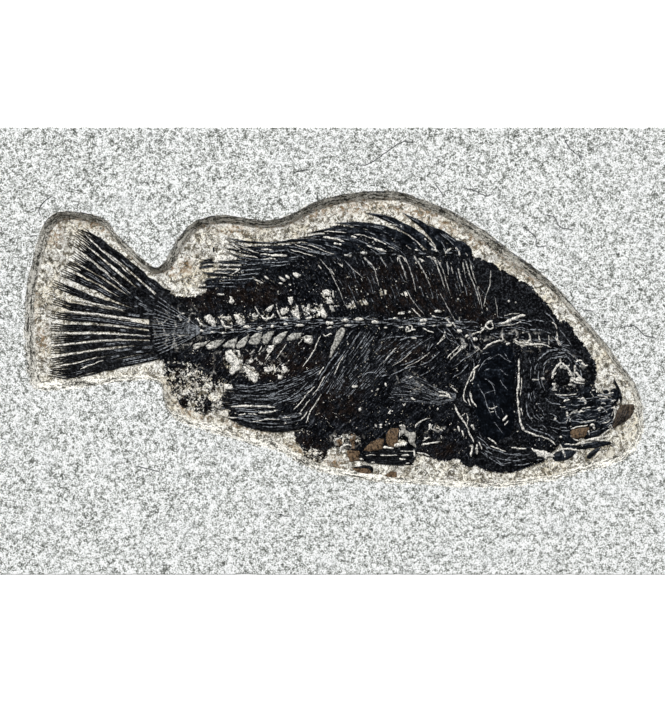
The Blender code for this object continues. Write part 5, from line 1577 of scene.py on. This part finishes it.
SLIVER_SPOTS = (
    (509, 301, 2.4), (516, 302, 2.0), (482, 328, 2.6), (432, 259, 2.0), (422, 261, 1.8), (440, 263, 1.8),
    (396, 281, 1.8), (420, 287, 1.8), (342, 265, 1.8), (331, 270, 1.8), (382, 292, 2.2), (357, 289, 1.8),
    (458, 299, 2.2), (466, 336, 2.4), (405, 318, 1.6), (423, 320, 2.0), (423, 324, 1.8), (284, 424, 1.8),
    (389.6, 413, 2.2), (392.6, 411, 1.6), (386.2, 421.8, 1.6), (389.6, 423.8, 1.6), (556, 419, 2.6),
    (532, 418, 2.0), (561, 437, 2.4), (360, 409, 3.2), (471, 294, 2.0), (404, 405, 2.0), (438, 409, 2.2),
    (381, 425, 2.6), (425, 438, 1.6), (451, 387, 2.0), (537, 404, 1.8), (572, 404, 1.6), (607, 412, 2.0),
)
SHARD_SPACING = 0.0005


def shards(points, root_width, tip_width, seed):
    """A thin jagged line of stone, broken where it is thinnest."""
    line = smooth([at(*p) for p in points], SHARD_SPACING)
    travel = np.linspace(0, 1, len(line))
    vigour = 1 + 0.6 * rough(line, 0.0016, seed) + 0.4 * rough(line, 0.0007, seed + 1)
    for axis in (0, 1):
        sway = rough(line, 0.0036, seed + 2 + axis) * 0.7 + rough(line, 0.0012, seed + 5 + axis) * 0.5
        line[:, axis] += sway * GRID
    radius = 0.5 * GRID * (root_width + (tip_width - root_width) * travel) * np.clip(vigour, 0.2, 1.6)
    radius *= np.minimum(1, 5 * np.minimum(travel + 0.07, 1.07 - travel))
    return kept_stretches(np.column_stack([line, np.maximum(radius, 0.00005)]), vigour > 0.5)


sliver_look, tree, shader, place = new_look("stone_slivers", 0.8)
dirt = step_up(tree, grain(tree, place, 1200, 3, 0.7), 0.38, 0.58)
tree.links.new(blend(tree, dirt, (0.16, 0.16, 0.15), (0.95, 0.92, 0.85)), shader.inputs["Base Color"])
raised(tree, shader, grain(tree, place, 1500, 3, 0.6), 0.5, 0.0002)
pale_plates = [(outline, 0.0004, 0.0008, 0.0006) for outline in EYE_STONE + THROAT_STONE]
plates("stone_in_the_head", pale_plates, sliver_look, "limestone")
STONE_BITS = (
    ((195.3, 317.2), (198.8, 318.3), (201, 323), (207.8, 327.1), (203.3, 327.7), (198.8, 324.2)),
    ((203.2, 316.6), (208.8, 313.8), (211, 314.3), (215.5, 321.1), (216.7, 326.7), (212.2, 327.8),
     (207.7, 322.7)), ((205.1, 319.1), (208.9, 317.3), (212.6, 323.3), (211.4, 326.3)),
    ((219.9, 320.2), (223.2, 320.2), (225.5, 325.6), (233.9, 325), (231.6, 328.6), (224.9, 329.2),
     (221.5, 325)),
    ((230.2, 313.7), (238, 314.3), (241.3, 317.7), (245.7, 322.9), (243.5, 325.7), (238, 325.2),
     (234.7, 321.7), (238, 319.5), (234.7, 317.2)),
    ((250.8, 314.7), (254.7, 312.2), (257.3, 317.9), (252.7, 319.2)),
    ((253.8, 305.8), (255.6, 306.3), (259, 312), (264.8, 318.2), (262.5, 319.3), (256.7, 312)),
    ((258.8, 312.9), (261.5, 314.6), (264.8, 317.6), (270.3, 316.4), (273.6, 312.9), (275.3, 317),
     (268.1, 320.5), (267, 322.9), (262.6, 319.3)),
    ((263.1, 310.9), (266.6, 307.8), (273.6, 303.6), (274.1, 306.6), (271.2, 311.5), (267.8, 312.1)),
    ((275.4, 303.1), (277.1, 304.2), (278.8, 311.4), (282.1, 316.3), (289.4, 316.3), (287.7, 319.6),
     (279.9, 319.1), (276.5, 311.9)),
    ((279.1, 309.7), (282.9, 307.3), (286.6, 308.5), (286.6, 314.6), (281.6, 315.8)),
    ((287.1, 296.9), (293, 296.3), (293.6, 300.5), (291.7, 305.3), (289.1, 304.7)),
    ((285.7, 306.3), (287.7, 306.3), (287.9, 313.3), (285.9, 312.6)),
    ((296.6, 304.8), (298.3, 304.8), (298.9, 310.9), (300.6, 319.1), (296.6, 321.3), (292.5, 316.4),
     (289.6, 310.3), (294.8, 309.8)),
    ((301.2, 304.7), (303, 305.2), (304.3, 313), (306.6, 316.8), (313.9, 315.2), (311.1, 319.6),
     (306, 320.2), (302.6, 311.9)), ((307.1, 303.9), (310.7, 302.7), (310, 311.1), (305.7, 311.7)),
    ((319.9, 303.2), (322.3, 303.7), (324.8, 310.9), (328.4, 315.9), (325.4, 319.2), (321.7, 317.5),
     (319.9, 312)),
    ((227.3, 302.4), (229.8, 298.3), (228.6, 295.3), (231.7, 296.5), (235.3, 301.2), (232.3, 304.8)),
    ((215.7, 293.1), (224.7, 293.3), (224.7, 295.5), (216.3, 295.5)),
    ((194.2, 291.6), (201, 290.9), (202.2, 293.6), (196.7, 296.4)),
    ((224.2, 351.3), (230.8, 349.2), (236.2, 355.5), (240.6, 361.9), (239.5, 366.1), (241.7, 370.4),
     (237.3, 371.4), (231.9, 376.2), (228.6, 372.5), (230.8, 366.1), (225.9, 359.8)),
    ((233.6, 349.3), (239.8, 349.9), (241.6, 356.6), (238.6, 357.8), (237.3, 352.9)),
    ((242.2, 364.8), (246.6, 366.9), (252.1, 371.8), (258.7, 374), (258.2, 381.5), (254.3, 384.3),
     (249.9, 379.4), (245.5, 372.9)),
    ((263.3, 366.8), (272.5, 366.8), (274.8, 370.1), (267.9, 372.8), (263.9, 372.1)),
    ((281.2, 366.5), (286.3, 365.8), (288.2, 371.4), (283.8, 373.8)),
    ((277.3, 374.2), (283.8, 375.5), (282.5, 380.2), (277.3, 379.5)),
    ((267.2, 345.5), (274.8, 344.2), (273.5, 350.6), (268.5, 351.2)),
    ((223.2, 383.2), (232.6, 384.5), (233.8, 389.7), (224.4, 389.7)),
    ((206.2, 345), (212.3, 344.4), (214.7, 347.7), (209.3, 350.4)),
    ((236.2, 346.3), (241.6, 344.2), (242.2, 348.4), (236.9, 349.3)),
    ((273.7, 340.4), (279.4, 336.7), (280.7, 341.6), (275.6, 344.7)),
    ((303.2, 337.3), (312.1, 337.3), (312.7, 343.8), (305.6, 343.1)),
    ((265.8, 349.5), (270.2, 345.2), (273.3, 350.1), (267.7, 353.7)),
    ((216.3, 256.7), (221.7, 254.7), (229.2, 255.4), (237.8, 257.3), (236.7, 260.6), (226, 261.2),
     (217.4, 261.2)), ((291.3, 272.4), (296, 271.8), (302.3, 275), (297.1, 278.4), (294.2, 277)),
    ((312.8, 302.6), (318.8, 303.3), (317.5, 305.4), (313.5, 304.8)),
    ((192.2, 346.8), (199.6, 344.8), (200.2, 348.2), (193.5, 350.4)),
    ((321.4, 290.6), (327, 288.6), (331.6, 291), (330, 296), (324, 296)),
    ((325, 297), (331, 297.4), (334, 303.4), (329, 304)),
    ((328.4, 305), (333, 305.6), (335.6, 312), (331, 311)),
    ((331.6, 291), (334, 290), (334.6, 299), (332.4, 297)),
)
bits = [(cornered(outline), 0.0003, 0.00022, 0.00055) for outline in STONE_BITS]
plates("stone_between_spines", bits, sliver_look, "limestone", spacing=FINE_SPACING)
slivers = []
for number, (root_width, tip_width, points) in enumerate(SLIVERS):
    slivers += shards(points, root_width, tip_width, seed=900 + 3 * number)
for left, right, v, width in BACK_SLIVERS:
    stretch = ((left, v), ((left + right) / 2, v - 0.6), (right, v - 0.3))
    slivers += shards(stretch, 1.25 * width, width, seed=left)
for u, v, width in SLIVER_SPOTS:
    spot = ((u - 0.5 * width, v), (u + 0.5 * width, v + 0.3))
    slivers += shards(spot, 1.2 * width, width, seed=u)
lay("stone_slivers", slivers, sliver_look, "limestone", lift=0.0007)
dull_look = bone_look("dull_stone", (0.08, 0.08, 0.077), (0.80, 0.79, 0.75), 0.45, 0.7)
slivers = []
for number, (root_width, tip_width, points) in enumerate(ROD_SLIVERS):
    slivers += shards(points, root_width, tip_width, seed=1300 + 3 * number)
lay("dull_slivers", slivers, dull_look, "limestone", lift=0.0007)
SCUTES = (
    ((359, 250.5), (368, 251), (368, 255), (360, 255)),
    ((343, 253), (352, 254), (352, 257.5), (344, 256.5)),
)
scutes = [(cornered(outline), 0.0004, 0.0006, 0.0004) for outline in SCUTES]
plates("foot_scutes", scutes, dull_look, "limestone", spacing=FINE_SPACING)

# THE GLINTS
# Thin raised edges of bone that stand out of the film, drawn pale grey-blue as partly painted highlight: on
# the long ribs, over the flank, in the gill cover and round the eye.
GLINTS = (
    (1.2, 1.0, ((240, 271), (252, 269.5), (262, 268))), (1.2, 0.9, ((238, 275.4), (250, 274), (258, 273))),
    (1.1, 0.8, ((244, 265.6), (256, 263.8), (270, 262.6))),
    (1.3, 1.0, ((262, 262), (276, 262.4), (292, 261))),
    (1.2, 0.8, ((286.8, 245.6), (300, 248.4), (312.3, 252), (330, 255.6))),
    (1.0, 0.8, ((306.8, 243.4), (318.6, 245.6), (326, 249))),
    (1.1, 0.8, ((285, 250), (295, 254), (305, 258.4))), (1.1, 0.8, ((303, 250), (318, 252), (332, 255))),
    (1.0, 0.8, ((270, 266), (280, 265.4), (290, 264))), (1.2, 0.9, ((236, 280), (246, 279), (256, 277.6))),
    (1.0, 0.8, ((234, 385), (250, 386.4), (262, 384))),
    (1.2, 0.9, ((244, 391), (260, 390), (274, 386), (286, 379))),
    (1.1, 0.8, ((262, 397), (278, 392), (292, 384), (304, 376))),
    (1.0, 0.8, ((252, 399), (266, 399.6), (282, 396))),
    (1.2, 0.9, ((236, 411), (252, 412), (268, 411), (280, 410.6))),
    (1.0, 0.8, ((240, 418.6), (256, 419.6), (270, 418.6))),
    (1.0, 0.8, ((262, 426.4), (278, 427), (292, 425.4))),
    (1.1, 0.8, ((272, 405), (286, 400), (298, 392), (308, 382))),
    (1.6, 1.2, ((338, 351), (331, 361), (323, 373), (318, 381))),
    (0.9, 0.7, ((330, 372), (322, 385), (313, 398))), (1.0, 0.8, ((341, 358), (333, 368), (326, 378))),
    (1.0, 0.8, ((346, 350), (338, 361), (330, 372))), (1.2, 0.9, ((353, 330), (349, 335), (346, 340))),
    (1.3, 0.8, ((361, 331), (356, 338), (351, 347))), (1.3, 0.8, ((367, 333), (362, 340), (356, 350))),
    (1.2, 0.8, ((374, 336), (367, 344), (360, 354))),
    (1.2, 1.0, ((381, 377), (386, 375), (391, 376), (388, 378.5))),
    (1.3, 0.9, ((391, 375), (400, 371), (408, 368), (416, 366))),
    (1.2, 0.8, ((362, 378), (366, 374), (374, 372))), (1.2, 0.8, ((380, 340), (392, 337), (404, 336))),
    (1.2, 0.8, ((398, 341), (410, 337), (424, 336))), (1.0, 0.8, ((430, 341), (427, 352))),
    (1.4, 1.0, ((433, 343), (428, 351))), (1.2, 0.9, ((396, 350), (388, 358), (381, 364))),
    (1.0, 0.8, ((412, 350), (402, 358), (394, 364))), (1.2, 0.8, ((423, 356), (411, 362), (400, 366))),
    (1.0, 0.8, ((440, 352), (431, 360), (420, 366))), (1.2, 0.8, ((436, 366), (428, 372), (420, 376))),
    (0.9, 0.7, ((483, 378), (489, 381), (495, 385))), (0.8, 0.7, ((500, 380), (508, 390))),
    (0.8, 0.7, ((505, 353), (510, 363))), (0.9, 0.7, ((484, 395), (492, 391), (500, 390))),
    (0.8, 0.6, ((478, 372), (484, 362), (492, 356))),
    (1.5, 1.0, ((538, 361), (543, 355), (550, 351), (560, 349.5), (570, 352))),
    (1.2, 1.0, ((543, 366), (549, 359.5), (557, 357), (566, 357.5))),
    (1.4, 1.0, ((574, 360), (580, 368), (582, 378))),
    (1.2, 0.8, ((486, 447), (500, 452), (515, 455), (530, 455))),
    (1.2, 0.8, ((490, 456), (505, 460), (522, 461))), (1.0, 0.8, ((484, 452), (495, 462), (505, 466))),
    (1.4, 1.0, ((526, 424), (534, 430), (546, 434), (556, 440))),
    (1.2, 0.8, ((526, 400), (528, 414), (534, 424))), (1.4, 1.0, ((557, 396), (566, 398), (578, 396))),
    (1.2, 0.9, ((545, 398), (552, 403), (562, 405))), (1.3, 0.8, ((470, 362), (462, 372), (452, 378))),
    (1.2, 0.8, ((476, 352), (466, 358), (455, 366))), (1.2, 0.9, ((530, 330), (540, 330), (552, 334))),
    (1.4, 1.0, ((527, 322), (536, 320), (545, 322))), (1.2, 0.8, ((545, 312), (552, 318), (556, 326))),
    (1.0, 0.8, ((560, 330), (567, 338), (572, 346))),
)
glints = []
for number, (root_width, tip_width, points) in enumerate(GLINTS):
    glints += shards(points, root_width, tip_width, seed=400 + 3 * number)
lay("bone_glints", glints, grey_bone, "black_bone", lift=0.00075)

# THE STAGE
# A plain pale floor, one large soft light from behind the fish's back and a weak fill, and a long lens
# that looks straight down on the slab.
FLOOR_WIDTH = 6
FLOOR_DROP = 0.0002
SENSOR = 36
PICTURE_WIDTH = 665
CAMERA_HEIGHT = 1.6
bpy.ops.mesh.primitive_plane_add(size=FLOOR_WIDTH, location=(0, 0, -FLOOR_DROP))
floor = bpy.context.object
floor.name = "floor"
floor_look, _, shader, _ = new_look("floor_white", 0.9)
shader.inputs["Base Color"].default_value = (0.9, 0.9, 0.9, 1)
shader.inputs["Emission Color"].default_value = (1, 1, 1, 1)
shader.inputs["Emission Strength"].default_value = 0.8
floor.data.materials.append(floor_look)


def soft_light(name, place, size, power):
    """A square light that looks at the middle of the slab."""
    data = bpy.data.lights.new(name, "AREA")
    data.size = size
    data.energy = power
    light = bpy.data.objects.new(name, data)
    light.location = place
    light.rotation_euler = (Vector((0, 0, 0)) - Vector(place)).to_track_quat("-Z", "Y").to_euler()
    bpy.context.scene.collection.objects.link(light)


soft_light("window", (-2.2, 4.6, 4.4), 2.2, 575)
soft_light("far_window", (1.6, -2.4, 2.0), 2.0, 18)
world = bpy.data.worlds.new("room")
world.use_nodes = True
world.node_tree.nodes["Background"].inputs["Color"].default_value = (1, 1, 1, 1)
world.node_tree.nodes["Background"].inputs["Strength"].default_value = 0.15
bpy.context.scene.world = world
bpy.context.scene.view_settings.view_transform = "Standard"

camera_data = bpy.data.cameras.new("camera")
camera_data.sensor_fit = "HORIZONTAL"
camera_data.sensor_width = SENSOR
camera_data.lens = SENSOR * CAMERA_HEIGHT / (PICTURE_WIDTH * GRID)
camera = bpy.data.objects.new("camera", camera_data)
camera.location = (0, 0, FACE + CAMERA_HEIGHT)
bpy.context.scene.collection.objects.link(camera)
bpy.context.scene.camera = camera
